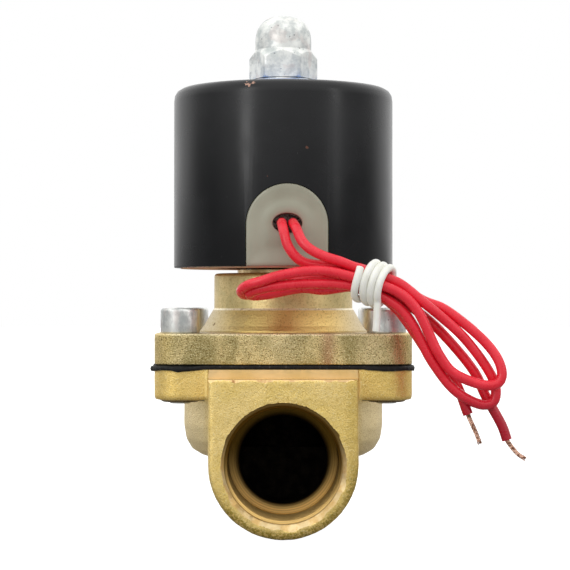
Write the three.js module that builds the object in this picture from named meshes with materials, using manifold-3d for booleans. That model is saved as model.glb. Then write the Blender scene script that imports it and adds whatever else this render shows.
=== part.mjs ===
// Two-way brass solenoid valve, 3/4 inch, normally closed, with a semi-direct lift diaphragm.
//
// Frame, in millimetres: the origin is where the pipe axis meets the stem axis. +Z runs up the
// stem to the cap nut, the inlet port faces -Y, the outlet port faces +Y, and +X is to the right
// of somebody who looks into the inlet.
//
// Stack, from the bottom: valve body with its seat, diaphragm, bonnet, guide tube with the plunger
// and the fixed core inside, coil round the tube, cap nut on the fixed core's stud.
import * as THREE from 'three';
import { mergeVertices } from 'three/addons/utils/BufferGeometryUtils.js';
import Module from 'manifold-3d';

const wasm = await Module();
wasm.setup();

// ---- driving dimensions -------------------------------------------------------------------------
const FLANGE_SIDE = 57;
const FLANGE_CORNER = 5.7;
const FACE_TO_FACE = 73;
const COIL_DIAMETER = 51;
const COIL_HEIGHT = 41.6;
const OVERALL_TOP = 101.65;
// Clearance round a piece that slides or is assembled, and between pieces that lie against each other.
const GAP = 0.3;
const TOUCH = 0.1;
// How far a cutter, or a solid joined to another, runs past the surface that it meets.
const OVERLAP = 1;

// Sides of the round pieces: outer pieces, the large can, pieces inside, small holes and screws.
const ROUND_SIDES = 32;
const CAN_SIDES = 48;
const INNER_SIDES = 24;
const SMALL_SIDES = 16;

// Body: square flange, round bowl, a U-shaped block at each port, a slimmer barrel between them.
const BODY_FLANGE_BOTTOM = 13.4;
const BODY_FLANGE_TOP = 20.1;
const PORT_FACE = FACE_TO_FACE / 2;
const PORT_HALF_WIDTH = 16.2;
const PORT_TOP = 18.2;
const PORT_INNER_END = 19;
const PORT_BEVEL = 1;
const PAD_PROUD = 0.4;
const BOWL_RADIUS = 23.1;
const BOWL_BOTTOM = -1;
const BOWL_FILLET = 7.5;
const BARREL_RADIUS = 14.4;
const BARREL_HALF_LENGTH = 21;

// Flow path: threaded socket, passage, well up to the ring-shaped chamber, seat, centre bore.
const THREAD_MINOR_RADIUS = 12.05;
const THREAD_MOUTH_RADIUS = 13.25;
const THREAD_DEPTH = 15;
const PASSAGE_RADIUS = 9.8;
const SEAT_BORE_RADIUS = 9.5;
const SEAT_RADIUS = 12.3;
const SEAT_TOP = 16;
const SEAT_WALL = 3.1;
const SEAT_CHAMFER = 1;
const CHAMBER_RADIUS = 19.5;
const CHAMBER_FLOOR = 12.3;
const WELL_FLOOR = 2;
const WELL_EDGE = 6;

// Diaphragm and the group that it carries.
const DIAPHRAGM_THICKNESS = 0.8;
const DIAPHRAGM_OVERHANG = 0.2;
const DIAPHRAGM_BOTTOM = BODY_FLANGE_TOP + TOUCH;
const DIAPHRAGM_TOP = DIAPHRAGM_BOTTOM + DIAPHRAGM_THICKNESS;
const DIAPHRAGM_DISH_RADIUS = 17.5;
const DIAPHRAGM_FLAT_RADIUS = 12.8;
const DIAPHRAGM_CENTRE_BOTTOM = SEAT_TOP + 2 * TOUCH;
const DIAPHRAGM_CENTRE_TOP = DIAPHRAGM_CENTRE_BOTTOM + DIAPHRAGM_THICKNESS;
const DISH_SKEW = 0.2;
const BLEED_HOLE_RADIUS = 0.6;
const BLEED_HOLE_X = 15.2;
const DISC_BOTTOM = DIAPHRAGM_CENTRE_TOP + TOUCH;
const DISC_RADIUS = 12;
const DISC_THICKNESS = 2.2;
const DISC_STEM_RADIUS = 4;
const DISC_STEM_END = 12;
const PILOT_BORE_RADIUS = 1.2;
const PILOT_SEAT_HEIGHT = 0.8;
const PILOT_SEAT_TOP = DISC_BOTTOM + DISC_THICKNESS + PILOT_SEAT_HEIGHT;
const PILOT_SEAT_BASE_RADIUS = 3.2;
const PILOT_SEAT_RADIUS = 2.4;
const DISC_CHAMFER = 0.5;
const CAGE_OUTER_RADIUS = 8.7;
const CAGE_INNER_RADIUS = 8;
const CAGE_LIP_RADIUS = 6.2;
const CAGE_FLOOR_HOLE_RADIUS = 5.4;
const CAGE_TOP = 25;
const CAGE_WINDOWS = 3;
const CAGE_WINDOW_HALF_WIDTH = 2.2;
const CAGE_WINDOW_MARGIN = 1.6;
const PLATE_RADIUS = 8.8;
const PLATE_BOTTOM = 14.6;
const DISC_NUT_ACROSS_FLATS = 13;
const DISC_NUT_TOP = 14.5;

// Bonnet: flange, cone and neck, hollow for the plunger and the tube's foot.
const BONNET_BOTTOM = DIAPHRAGM_TOP + TOUCH;
const BONNET_FLANGE_TOP = 28;
const CONE_BASE_RADIUS = 19;
const NECK_RADIUS = 16.1;
const CONE_TOP = 33.2;
const NECK_TOP = 41.5;
const BONNET_CHAMBER_RADIUS = 17.8;
const BONNET_CHAMBER_TOP = 25;
const NECK_BORE_RADIUS = 9.2;
const TUBE_SEAT_RADIUS = 11;
const TUBE_SEAT_FLOOR = 36;
const NECK_CHAMFER = 0.4;

// Screws: M5 socket head, one at each corner of the flange.
const SCREW_OFFSET = 22.8;
const SCREW_RADIUS = 2.5;
const SCREW_HOLE_RADIUS = SCREW_RADIUS + GAP;
const SCREW_END = 12.5;
const SCREW_HEAD_RADIUS = 4.35;
const SCREW_HEAD_HEIGHT = 5.5;
const SCREW_HEAD_ROUNDING = 0.8;
const SCREW_TIP_CHAMFER = 0.4;
const SCREW_SOCKET_ACROSS_FLATS = 4;
const SCREW_SOCKET_DEPTH = 2.5;
const BOSS_RADIUS = 3.9;
const BOSS_HEIGHT = 0.5;

// Guide tube, plunger, spring and fixed core, all on the stem axis.
const TUBE_INNER_RADIUS = 8;
const TUBE_OUTER_RADIUS = 8.5;
const TUBE_FOOT_RADIUS = 10.7;
const TUBE_FOOT_BOTTOM = 38.2;
const TUBE_FOOT_TOP = 39.4;
const TUBE_TOP = 82;
const COLLAR_TOP = 42.3;
const O_RING_RADIUS = 9.75;
const O_RING_SECTION = 0.95;
const O_RING_SIDES = 6;
const PLUNGER_RADIUS = 7.7;
const PLUNGER_FOOT_RADIUS = 7.4;
const PLUNGER_NECK_RADIUS = 5.6;
const PLUNGER_BOTTOM = 21;
const PLUNGER_TOP = 55.7;
const PLUNGER_TRAVEL = 6;
const PLUNGER_CHAMFER = 0.6;
const PLUNGER_FOOT_HEIGHT = 1.2;
const PLUNGER_NECK_END = PLUNGER_BOTTOM + 5.6;
const PLUNGER_SHOULDER = PLUNGER_NECK_END + 0.8;
const GROOVE_HALF_WIDTH = 0.8;
const GROOVE_DEPTH = 0.9;
const SEAL_RADIUS = 2.9;
const SEAL_FACE_RADIUS = 2.6;
const SEAL_CHAMFER = 0.3;
const SEAL_TOP = PLUNGER_BOTTOM + 1.7;
const SEAL_POCKET_DEPTH = 2;
const CORE_RADIUS = 7.7;
const CORE_BOTTOM = PLUNGER_TOP + PLUNGER_TRAVEL + GAP;
const CORE_HEAD_TOP = 84.2;
const STUD_RADIUS = 4;
const STUD_TOP = 96.5;
const STUD_CHAMFER = 0.6;
const SPRING_BORE_RADIUS = 3.6;
const SPRING_BOTTOM = 48.2;
const SPRING_TOP = 65.8;
const SPRING_RADIUS = 2.7;
const SPRING_WIRE_RADIUS = 0.4;
const SPRING_TURNS = 8;
const SPRING_SIDES = 5;
const SPRING_STEPS_PER_TURN = 8;

// Coil: a painted steel can round a wound bobbin, turned a little about the stem as fitted.
const COIL_YAW = THREE.MathUtils.degToRad(2.1);
const COIL_RADIUS = COIL_DIAMETER / 2;
const COIL_BOTTOM = 42.8;
const COIL_TOP = COIL_BOTTOM + COIL_HEIGHT;
const CAN_WALL = 1.2;
const CAN_EDGE_RADIUS = 3;
const COIL_HOLE_RADIUS = TUBE_OUTER_RADIUS + GAP;
const BASE_PLATE_TOP = COIL_BOTTOM + 1.3;
const BASE_PLATE_NOTCH_TOP = COIL_BOTTOM + 3;
const BOBBIN_BOTTOM = BASE_PLATE_TOP + GAP;
const BOBBIN_TOP = COIL_TOP - CAN_WALL - 0.4;
const BOBBIN_FLANGE_RADIUS = 20;
const BOBBIN_WALL = 1.2;
const BOBBIN_FLANGE = 1.5;
const WINDING_BOTTOM = BOBBIN_BOTTOM + BOBBIN_FLANGE + GAP;
const WINDING_TOP = BOBBIN_TOP - BOBBIN_FLANGE - GAP;
const WINDING_RADIUS = 18.9;
const TAPE_RADIUS = 19.8;
const POTTING_TOP = COIL_TOP - 5;
const POTTING_CHANNEL_DEPTH = 3;
const GROMMET_HALF_WIDTH = 9.1;
const GROMMET_HEIGHT = 18.2;
const GROMMET_INNER_Y = -21.5;
const GROMMET_LIP = 1.5;
const GROMMET_LIP_BOTTOM = BASE_PLATE_TOP + 0.2;
const LEAD_HOLE_WIDTH = 6;
const LEAD_HOLE_HEIGHT = 4.2;
const LEAD_HOLE_Z = 52.3;
const LEAD_DISH_MARGIN = 1;
const LEAD_DISH_DEPTH = 0.6;

// Top fastening: plastic label disc, spring washer and hexagonal cap nut.
const LABEL_RADIUS = 15;
const LABEL_TOP = COIL_TOP + 1;
const WASHER_RADIUS = 7;
const WASHER_TOP = LABEL_TOP + 1.3;
const WASHER_SLIT_HALF_WIDTH = 0.5;
const NUT_ACROSS_FLATS = 14;
const NUT_YAW_DEGREES = -2.9;
const NUT_SHOULDER = 91.4;
const NUT_HEX_TOP = 93.7;
const NUT_DOME_RADIUS = 6.55;
const NUT_DOME_FLAT_ANGLE = 81;

// Leads: two insulated wires folded into one bundle, tied with a plastic-coated wire.
const LEAD_RADIUS = 1;
const LEAD_SIDES = 8;
const LEAD_STEP = 5.8;
const CONDUCTOR_RADIUS = 0.6;
const CONDUCTOR_SIDES = 6;
const CONDUCTOR_STEPS = 6;
const TIE_CENTRE = new THREE.Vector3(17.9, -33, 39.4);
const TIE_SLOPE = THREE.MathUtils.degToRad(19.5);
const TIE_RADIUS = 4.45;
const TIE_PITCH = 1.68;
const TIE_TURNS = 3.3;
const TIE_WIRE_RADIUS = 0.68;
const TIE_WIRE_SIDES = 6;
const TIE_STEPS_PER_TURN = 12;
const TIE_START_ANGLE = THREE.MathUtils.degToRad(32);
const TIE_TAIL = 6.5;

// Left-hand lead: hole, tie, outer right-hand loop, tie, upper left-hand fold, tie, free end.
const LEAD_A_ROUTE = [
  [-0.3, -21.6, 52.3], [-0.3, -27.0, 52.1], [0.1, -30.2, 50.2], [1.0, -31.4, 47.1], [2.8, -31.6, 44.6],
  [4.7, -31.4, 43.4], [7.5, -31.2, 42.9], [14.8, -31.9, 42.6], [22.3, -31.9, 39.9], [30.5, -32.1, 35.1],
  [34.7, -32.5, 33.4], [43.7, -34.0, 26.0], [46.5, -34.9, 21.7], [46.9, -35.2, 18.9], [46.1, -35.4, 17.5],
  [43.6, -35.5, 17.0], [36.5, -35.5, 19.7], [33.6, -35.5, 23.3], [28.5, -35.7, 33.4], [24.8, -35.5, 36.9],
  [17.9, -35.3, 39.4], [7.9, -35.3, 41.6], [-0.7, -35.0, 40.6], [-4.6, -34.4, 39.3], [-7.7, -32.9, 38.3],
  [-8.9, -30.8, 37.9], [-8.2, -28.3, 38.1], [-5.0, -26.6, 39.0], [5.0, -28.2, 40.8], [9.8, -30.9, 40.5],
  [14.1, -33.0, 40.7], [17.9, -33.0, 39.4], [21.7, -33.0, 38.1], [25.0, -32.4, 35.6], [28.6, -31.6, 33.2],
  [33.8, -31.0, 28.8], [41.6, -30.8, 19.5], [43.7, -30.8, 14.9], [47.5, -31.0, 7.9], [48.5, -31.0, 5.0],
];
const CONDUCTOR_A_ROUTE = [[48.6, -31.0, 4.7], [50.3, -31.1, 2.5], [51.4, -31.1, 1.5], [52.7, -31.1, 0.8]];

// Right-hand lead: hole, tie, inner right-hand loop, tie, lower left-hand fold, tie, free end.
const LEAD_B_ROUTE = [
  [2.2, -21.6, 52.3], [2.2, -27.0, 52.1], [2.9, -30.6, 50.7], [4.1, -32.4, 48.0], [6.1, -33.3, 46.1],
  [9.2, -33.8, 44.6], [12.3, -34.1, 43.6], [14.8, -34.1, 42.6], [22.3, -34.1, 40.0], [25.0, -34.3, 38.9],
  [29.8, -34.6, 35.1], [39.2, -33.5, 26.9], [45.3, -32.9, 18.2], [45.9, -32.9, 15.2], [45.3, -33.0, 13.3],
  [43.1, -33.2, 12.7], [37.5, -33.9, 15.4], [32.2, -34.4, 21.8], [27.6, -34.4, 30.4], [25.2, -34.3, 33.4],
  [21.0, -34.1, 36.2], [17.2, -34.1, 37.5], [13.5, -34.1, 38.6], [3.6, -34.0, 38.5], [-3.9, -33.0, 37.2],
  [-6.3, -31.2, 36.7], [-6.2, -28.8, 36.5], [-3.8, -27.2, 36.8], [4.2, -28.0, 37.9], [8.5, -29.8, 37.5],
  [11.8, -31.3, 37.9], [14.4, -31.9, 38.2], [17.2, -31.9, 37.5], [21.0, -31.9, 36.2], [24.6, -31.8, 33.3],
  [28.2, -31.7, 28.6], [31.3, -31.6, 24.0], [34.4, -31.6, 20.9], [37.4, -31.6, 17.2], [40.0, -31.6, 10.6],
];
const CONDUCTOR_B_ROUTE = [[40.1, -31.6, 10.3], [40.8, -31.7, 8.6], [41.7, -31.7, 6.6], [42.7, -31.7, 4.1]];

// ---- materials ----------------------------------------------------------------------------------
const FINISHES = {
  castBrass: { color: 0xc9a45c, roughness: 0.6, metalness: 0.9 },
  machinedBrass: { color: 0xd8b36a, roughness: 0.3, metalness: 1 },
  patinaBrass: { color: 0xa99a66, roughness: 0.6, metalness: 0.8 },
  zinc: { color: 0xd9dad6, roughness: 0.35, metalness: 0.9 },
  stainless: { color: 0xb9bbbd, roughness: 0.3, metalness: 1 },
  copper: { color: 0xb87848, roughness: 0.35, metalness: 1 },
  copperPlate: { color: 0xcf9a84, roughness: 0.4, metalness: 0.9 },
  blackPaint: { color: 0x141416, roughness: 0.3, metalness: 0.1 },
  blackRubber: { color: 0x161616, roughness: 0.7, metalness: 0 },
  nylon: { color: 0xe4dfd0, roughness: 0.5, metalness: 0 },
  potting: { color: 0x2a2a2c, roughness: 0.6, metalness: 0 },
  yellowTape: { color: 0xe2b93a, roughness: 0.4, metalness: 0 },
  greyPlastic: { color: 0xa9a48f, roughness: 0.5, metalness: 0 },
  blueLabel: { color: 0x3c5fc4, roughness: 0.4, metalness: 0 },
  redInsulation: { color: 0xd62238, roughness: 0.4, metalness: 0 },
  whitePlastic: { color: 0xe6e6dc, roughness: 0.5, metalness: 0 },
};

// ---- geometry helpers ---------------------------------------------------------------------------
// Shared vertices merged, collapsed triangles dropped, faces pointing out.
function closed(geometry) {
  geometry.deleteAttribute('normal');
  geometry.deleteAttribute('uv');
  const merged = mergeVertices(geometry, 1e-4);
  const index = merged.index.array;
  const kept = [];
  for (let i = 0; i < index.length; i += 3) {
    const [a, b, c] = [index[i], index[i + 1], index[i + 2]];
    if (a !== b && b !== c && c !== a) kept.push(a, b, c);
  }
  const position = merged.attributes.position;
  const corners = [new THREE.Vector3(), new THREE.Vector3(), new THREE.Vector3()];
  let volume = 0;
  for (let i = 0; i < kept.length; i += 3) {
    corners.forEach((corner, k) => corner.fromBufferAttribute(position, kept[i + k]));
    volume += corners[0].dot(corners[1].clone().cross(corners[2]));
  }
  if (volume < 0) kept.reverse();
  merged.setIndex(kept);
  return merged;
}

function toSolid(geometry) {
  const merged = closed(geometry);
  const vertProperties = new Float32Array(merged.attributes.position.array);
  const triVerts = new Uint32Array(merged.index.array);
  return new wasm.Manifold(new wasm.Mesh({ numProp: 3, vertProperties, triVerts }));
}

function toGeometry(solid) {
  const mesh = solid.getMesh();
  const geometry = new THREE.BufferGeometry();
  geometry.setAttribute('position', new THREE.BufferAttribute(new Float32Array(mesh.vertProperties), 3));
  geometry.setIndex(Array.from(mesh.triVerts));
  return geometry;
}

// A profile of [radius, z] points turned about the stem axis.
function turned(profile, segments = ROUND_SIDES) {
  const points = profile.map(([radius, z]) => new THREE.Vector2(radius, z));
  return toSolid(new THREE.LatheGeometry(points, segments).rotateX(Math.PI / 2));
}

// A ring-shaped profile, which closes on itself.
function turnedRing(profile, segments = ROUND_SIDES) {
  return turned([...profile, profile[0]], segments);
}

function disc(radius, bottom, top, segments = ROUND_SIDES) {
  return turned([[0, bottom], [radius, bottom], [radius, top], [0, top]], segments);
}

function sleeve(innerRadius, outerRadius, bottom, top) {
  const profile = [[innerRadius, bottom], [outerRadius, bottom], [outerRadius, top], [innerRadius, top]];
  return turnedRing(profile, INNER_SIDES);
}

// Points of an arc in a turned profile, as for a rounded edge.
function edgeArc(centreRadius, centreZ, radius, fromDegrees, toDegrees, steps = 4) {
  const points = [];
  for (let i = 0; i <= steps; i += 1) {
    const angle = THREE.MathUtils.degToRad(fromDegrees + ((toDegrees - fromDegrees) * i) / steps);
    points.push([centreRadius + radius * Math.cos(angle), centreZ + radius * Math.sin(angle)]);
  }
  return points;
}

function box(low, high) {
  const size = high.map((value, axis) => value - low[axis]);
  const middle = high.map((value, axis) => (value + low[axis]) / 2);
  return toSolid(new THREE.BoxGeometry(...size).translate(...middle));
}

function extruded(shape, bottom, top, curveSegments = 5) {
  const settings = { depth: top - bottom, bevelEnabled: false, curveSegments };
  return toSolid(new THREE.ExtrudeGeometry(shape, settings).translate(0, 0, bottom));
}

// A shape drawn in X and Z, extruded from the nearer Y to the farther Y.
function extrudedAlongY(shape, nearY, farY, bevel = 0, curveSegments = 14) {
  const settings = {
    depth: farY - nearY - 2 * bevel,
    bevelEnabled: bevel > 0,
    bevelThickness: bevel,
    bevelSize: bevel,
    bevelOffset: -bevel,
    bevelSegments: 1,
    curveSegments,
  };
  const geometry = new THREE.ExtrudeGeometry(shape, settings);
  geometry.rotateX(Math.PI / 2);
  return toSolid(geometry.translate(0, farY - bevel, 0));
}

function roundedSquare(side, corner) {
  const half = side / 2;
  const inner = half - corner;
  const shape = new THREE.Shape();
  shape.moveTo(-inner, -half);
  shape.lineTo(inner, -half);
  shape.absarc(inner, -inner, corner, -Math.PI / 2, 0);
  shape.lineTo(half, inner);
  shape.absarc(inner, inner, corner, 0, Math.PI / 2);
  shape.lineTo(-inner, half);
  shape.absarc(-inner, inner, corner, Math.PI / 2, Math.PI);
  shape.lineTo(-half, -inner);
  shape.absarc(-inner, -inner, corner, Math.PI, 1.5 * Math.PI);
  return shape;
}

function hexagon(acrossFlats) {
  const radius = acrossFlats / Math.sqrt(3);
  const corners = [0, 1, 2, 3, 4, 5].map((side) => {
    const angle = (side * Math.PI) / 3;
    return new THREE.Vector2(radius * Math.cos(angle), radius * Math.sin(angle));
  });
  return new THREE.Shape(corners);
}

// Round top on straight legs, standing on the line z = bottom.
function arch(halfWidth, bottom, top) {
  const shape = new THREE.Shape();
  shape.moveTo(-halfWidth, bottom);
  shape.lineTo(halfWidth, bottom);
  shape.lineTo(halfWidth, top - halfWidth);
  shape.absarc(0, top - halfWidth, halfWidth, 0, Math.PI);
  shape.lineTo(-halfWidth, bottom);
  return shape;
}

// Flat top on straight legs, with a half-circle about the pipe axis below.
function portOutline(halfWidth, top) {
  const shape = new THREE.Shape();
  shape.moveTo(halfWidth, 0);
  shape.lineTo(halfWidth, top);
  shape.lineTo(-halfWidth, top);
  shape.lineTo(-halfWidth, 0);
  shape.absarc(0, 0, halfWidth, Math.PI, 2 * Math.PI);
  return shape;
}

function slotOutline(width, height, z) {
  const radius = height / 2;
  const inner = width / 2 - radius;
  const shape = new THREE.Shape();
  shape.moveTo(-inner, z - radius);
  shape.lineTo(inner, z - radius);
  shape.absarc(inner, z, radius, -Math.PI / 2, Math.PI / 2);
  shape.lineTo(-inner, z + radius);
  shape.absarc(-inner, z, radius, Math.PI / 2, 1.5 * Math.PI);
  return shape;
}

// A round bar swept along a curve, closed at both ends.
function swept(curve, radius, sides, steps) {
  const section = new THREE.Shape();
  for (let i = 0; i < sides; i += 1) {
    const angle = (2 * Math.PI * i) / sides;
    const point = [radius * Math.cos(angle), radius * Math.sin(angle)];
    if (i === 0) section.moveTo(...point);
    else section.lineTo(...point);
  }
  return toSolid(new THREE.ExtrudeGeometry(section, { extrudePath: curve, steps, bevelEnabled: false }));
}

function routeCurve(route) {
  return new THREE.CatmullRomCurve3(route.map((point) => new THREE.Vector3(...point)));
}

function screwPlaces() {
  const places = [];
  for (const y of [-SCREW_OFFSET, SCREW_OFFSET]) {
    for (const x of [-SCREW_OFFSET, SCREW_OFFSET]) places.push([x, y]);
  }
  return places;
}

function drilled(solid, radius, bottom, top) {
  let result = solid;
  for (const [x, y] of screwPlaces()) {
    result = result.subtract(disc(radius, bottom, top, SMALL_SIDES).translate([x, y, 0]));
  }
  return result;
}

function turnedAboutY(profile, segments = ROUND_SIDES) {
  const points = profile.map(([radius, y]) => new THREE.Vector2(radius, y));
  return toSolid(new THREE.LatheGeometry(points, segments));
}

// ---- valve body and its diaphragm ---------------------------------------------------------------
function portBlock(side) {
  const inner = side * PORT_INNER_END;
  const outer = side * PORT_FACE;
  const outline = portOutline(PORT_HALF_WIDTH, PORT_TOP);
  return extrudedAlongY(outline, Math.min(inner, outer), Math.max(inner, outer), PORT_BEVEL);
}

function bodyCasting() {
  const bowlProfile = [
    [0, BOWL_BOTTOM],
    ...edgeArc(BOWL_RADIUS - BOWL_FILLET, BOWL_BOTTOM + BOWL_FILLET, BOWL_FILLET, -90, 0),
    [BOWL_RADIUS, BODY_FLANGE_TOP],
    [0, BODY_FLANGE_TOP],
  ];
  const barrelProfile = [
    [0, -BARREL_HALF_LENGTH],
    [BARREL_RADIUS, -BARREL_HALF_LENGTH],
    [BARREL_RADIUS, BARREL_HALF_LENGTH],
    [0, BARREL_HALF_LENGTH],
  ];
  const padEdge = FLANGE_SIDE / 2 + PAD_PROUD;
  let body = extruded(roundedSquare(FLANGE_SIDE, FLANGE_CORNER), BODY_FLANGE_BOTTOM, BODY_FLANGE_TOP);
  body = body.add(turned(bowlProfile));
  body = body.add(turnedAboutY(barrelProfile));
  body = body.add(portBlock(-1)).add(portBlock(1));
  body = body.add(box(
    [-PORT_HALF_WIDTH + TOUCH, -padEdge, PORT_TOP - OVERLAP],
    [PORT_HALF_WIDTH - TOUCH, padEdge, BODY_FLANGE_TOP],
  ));
  for (const [x, y] of screwPlaces()) {
    const bossTop = BODY_FLANGE_BOTTOM + OVERLAP;
    const boss = disc(BOSS_RADIUS, BODY_FLANGE_BOTTOM - BOSS_HEIGHT, bossTop, SMALL_SIDES);
    body = body.add(boss.translate([x, y, 0]));
  }
  return body;
}

function threadedSocket(side) {
  const chamfer = THREAD_MOUTH_RADIUS - THREAD_MINOR_RADIUS;
  return turnedAboutY([
    [0, side * (PORT_FACE + OVERLAP)],
    [THREAD_MOUTH_RADIUS, side * (PORT_FACE + OVERLAP)],
    [THREAD_MOUTH_RADIUS, side * PORT_FACE],
    [THREAD_MINOR_RADIUS, side * (PORT_FACE - chamfer)],
    [THREAD_MINOR_RADIUS, side * (PORT_FACE - THREAD_DEPTH)],
    [0, side * (PORT_FACE - THREAD_DEPTH)],
  ]);
}

function passage(fromY, toY) {
  return turnedAboutY([[0, fromY], [PASSAGE_RADIUS, fromY], [PASSAGE_RADIUS, toY], [0, toY]]);
}

function inletWell() {
  const ring = turnedRing([
    [SEAT_RADIUS, WELL_FLOOR],
    [CHAMBER_RADIUS, WELL_FLOOR],
    [CHAMBER_RADIUS, CHAMBER_FLOOR + OVERLAP],
    [SEAT_RADIUS, CHAMBER_FLOOR + OVERLAP],
  ]);
  const inletSide = box(
    [-BOWL_RADIUS, -BOWL_RADIUS, WELL_FLOOR - OVERLAP],
    [BOWL_RADIUS, -WELL_EDGE, PORT_TOP],
  );
  return ring.intersect(inletSide);
}

function valveBody() {
  const chamber = turned([
    [0, SEAT_TOP],
    [SEAT_RADIUS - SEAT_CHAMFER, SEAT_TOP],
    [SEAT_RADIUS, SEAT_TOP - SEAT_CHAMFER],
    [SEAT_RADIUS, CHAMBER_FLOOR],
    [CHAMBER_RADIUS, CHAMBER_FLOOR],
    [CHAMBER_RADIUS, BODY_FLANGE_TOP + OVERLAP],
    [0, BODY_FLANGE_TOP + OVERLAP],
  ]);
  let body = bodyCasting();
  body = body.subtract(threadedSocket(-1)).subtract(threadedSocket(1));
  const socketEnd = PORT_FACE - THREAD_DEPTH + OVERLAP;
  body = body.subtract(passage(-socketEnd, -SEAT_BORE_RADIUS - SEAT_WALL));
  body = body.subtract(passage(0, socketEnd));
  body = body.subtract(chamber).subtract(inletWell());
  body = body.subtract(disc(SEAT_BORE_RADIUS, 0, SEAT_TOP + OVERLAP));
  const holeBottom = BODY_FLANGE_BOTTOM - BOSS_HEIGHT - OVERLAP;
  return drilled(body, SCREW_HOLE_RADIUS, holeBottom, BODY_FLANGE_TOP + OVERLAP);
}

function diaphragm() {
  const side = FLANGE_SIDE + 2 * DIAPHRAGM_OVERHANG;
  const dish = turnedRing([
    [DISC_STEM_RADIUS + GAP, DIAPHRAGM_CENTRE_BOTTOM],
    [DIAPHRAGM_FLAT_RADIUS + DISH_SKEW, DIAPHRAGM_CENTRE_BOTTOM],
    [DIAPHRAGM_DISH_RADIUS, DIAPHRAGM_BOTTOM],
    [DIAPHRAGM_DISH_RADIUS + OVERLAP, DIAPHRAGM_BOTTOM],
    [DIAPHRAGM_DISH_RADIUS + OVERLAP, DIAPHRAGM_TOP],
    [DIAPHRAGM_DISH_RADIUS - DISH_SKEW, DIAPHRAGM_TOP],
    [DIAPHRAGM_FLAT_RADIUS, DIAPHRAGM_CENTRE_TOP],
    [DISC_STEM_RADIUS + GAP, DIAPHRAGM_CENTRE_TOP],
  ]);
  const sheet = extruded(roundedSquare(side, FLANGE_CORNER), DIAPHRAGM_BOTTOM, DIAPHRAGM_TOP);
  const holeBottom = DIAPHRAGM_CENTRE_BOTTOM - OVERLAP;
  const holeTop = DIAPHRAGM_TOP + OVERLAP;
  const rim = sheet.subtract(disc(DIAPHRAGM_DISH_RADIUS + OVERLAP / 2, holeBottom, holeTop));
  const bleedHole = disc(BLEED_HOLE_RADIUS, holeBottom, holeTop, 8).translate([BLEED_HOLE_X, 0, 0]);
  return drilled(rim.add(dish), SCREW_HOLE_RADIUS, holeBottom, holeTop).subtract(bleedHole);
}

// ---- group that lifts with the diaphragm's centre -----------------------------------------------
function mainDisc() {
  const top = DISC_BOTTOM + DISC_THICKNESS;
  return turnedRing([
    [PILOT_BORE_RADIUS, DISC_STEM_END],
    [DISC_STEM_RADIUS, DISC_STEM_END],
    [DISC_STEM_RADIUS, DISC_BOTTOM],
    [DISC_RADIUS, DISC_BOTTOM],
    [DISC_RADIUS, top - DISC_CHAMFER],
    [DISC_RADIUS - DISC_CHAMFER, top],
    [PILOT_SEAT_BASE_RADIUS, top],
    [PILOT_SEAT_RADIUS, PILOT_SEAT_TOP],
    [PILOT_BORE_RADIUS, PILOT_SEAT_TOP],
  ], INNER_SIDES);
}

function liftCage() {
  const base = DISC_BOTTOM + DISC_THICKNESS + TOUCH;
  const sheet = CAGE_OUTER_RADIUS - CAGE_INNER_RADIUS;
  let cage = turnedRing([
    [CAGE_FLOOR_HOLE_RADIUS, base],
    [CAGE_OUTER_RADIUS, base],
    [CAGE_OUTER_RADIUS, CAGE_TOP],
    [CAGE_LIP_RADIUS, CAGE_TOP],
    [CAGE_LIP_RADIUS, CAGE_TOP - sheet],
    [CAGE_INNER_RADIUS, CAGE_TOP - sheet],
    [CAGE_INNER_RADIUS, base + sheet],
    [CAGE_FLOOR_HOLE_RADIUS, base + sheet],
  ], INNER_SIDES);
  const window = box(
    [CAGE_INNER_RADIUS - OVERLAP, -CAGE_WINDOW_HALF_WIDTH, base + CAGE_WINDOW_MARGIN],
    [CAGE_OUTER_RADIUS + OVERLAP, CAGE_WINDOW_HALF_WIDTH, CAGE_TOP - CAGE_WINDOW_MARGIN],
  );
  for (let i = 0; i < CAGE_WINDOWS; i += 1) {
    cage = cage.subtract(window.rotate([0, 0, ((i + 0.25) * 360) / CAGE_WINDOWS]));
  }
  return cage;
}

function diaphragmPlate() {
  const top = DIAPHRAGM_CENTRE_BOTTOM - TOUCH;
  return turnedRing([
    [DISC_STEM_RADIUS + GAP, PLATE_BOTTOM],
    [PLATE_RADIUS - DISC_CHAMFER, PLATE_BOTTOM],
    [PLATE_RADIUS, PLATE_BOTTOM + DISC_CHAMFER],
    [PLATE_RADIUS, top],
    [DISC_STEM_RADIUS + GAP, top],
  ], INNER_SIDES);
}

function discNut() {
  const nut = extruded(hexagon(DISC_NUT_ACROSS_FLATS), DISC_STEM_END + TOUCH, DISC_NUT_TOP);
  const bore = disc(DISC_STEM_RADIUS + GAP, DISC_STEM_END - OVERLAP, DISC_NUT_TOP + OVERLAP, SMALL_SIDES);
  return nut.subtract(bore);
}

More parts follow.
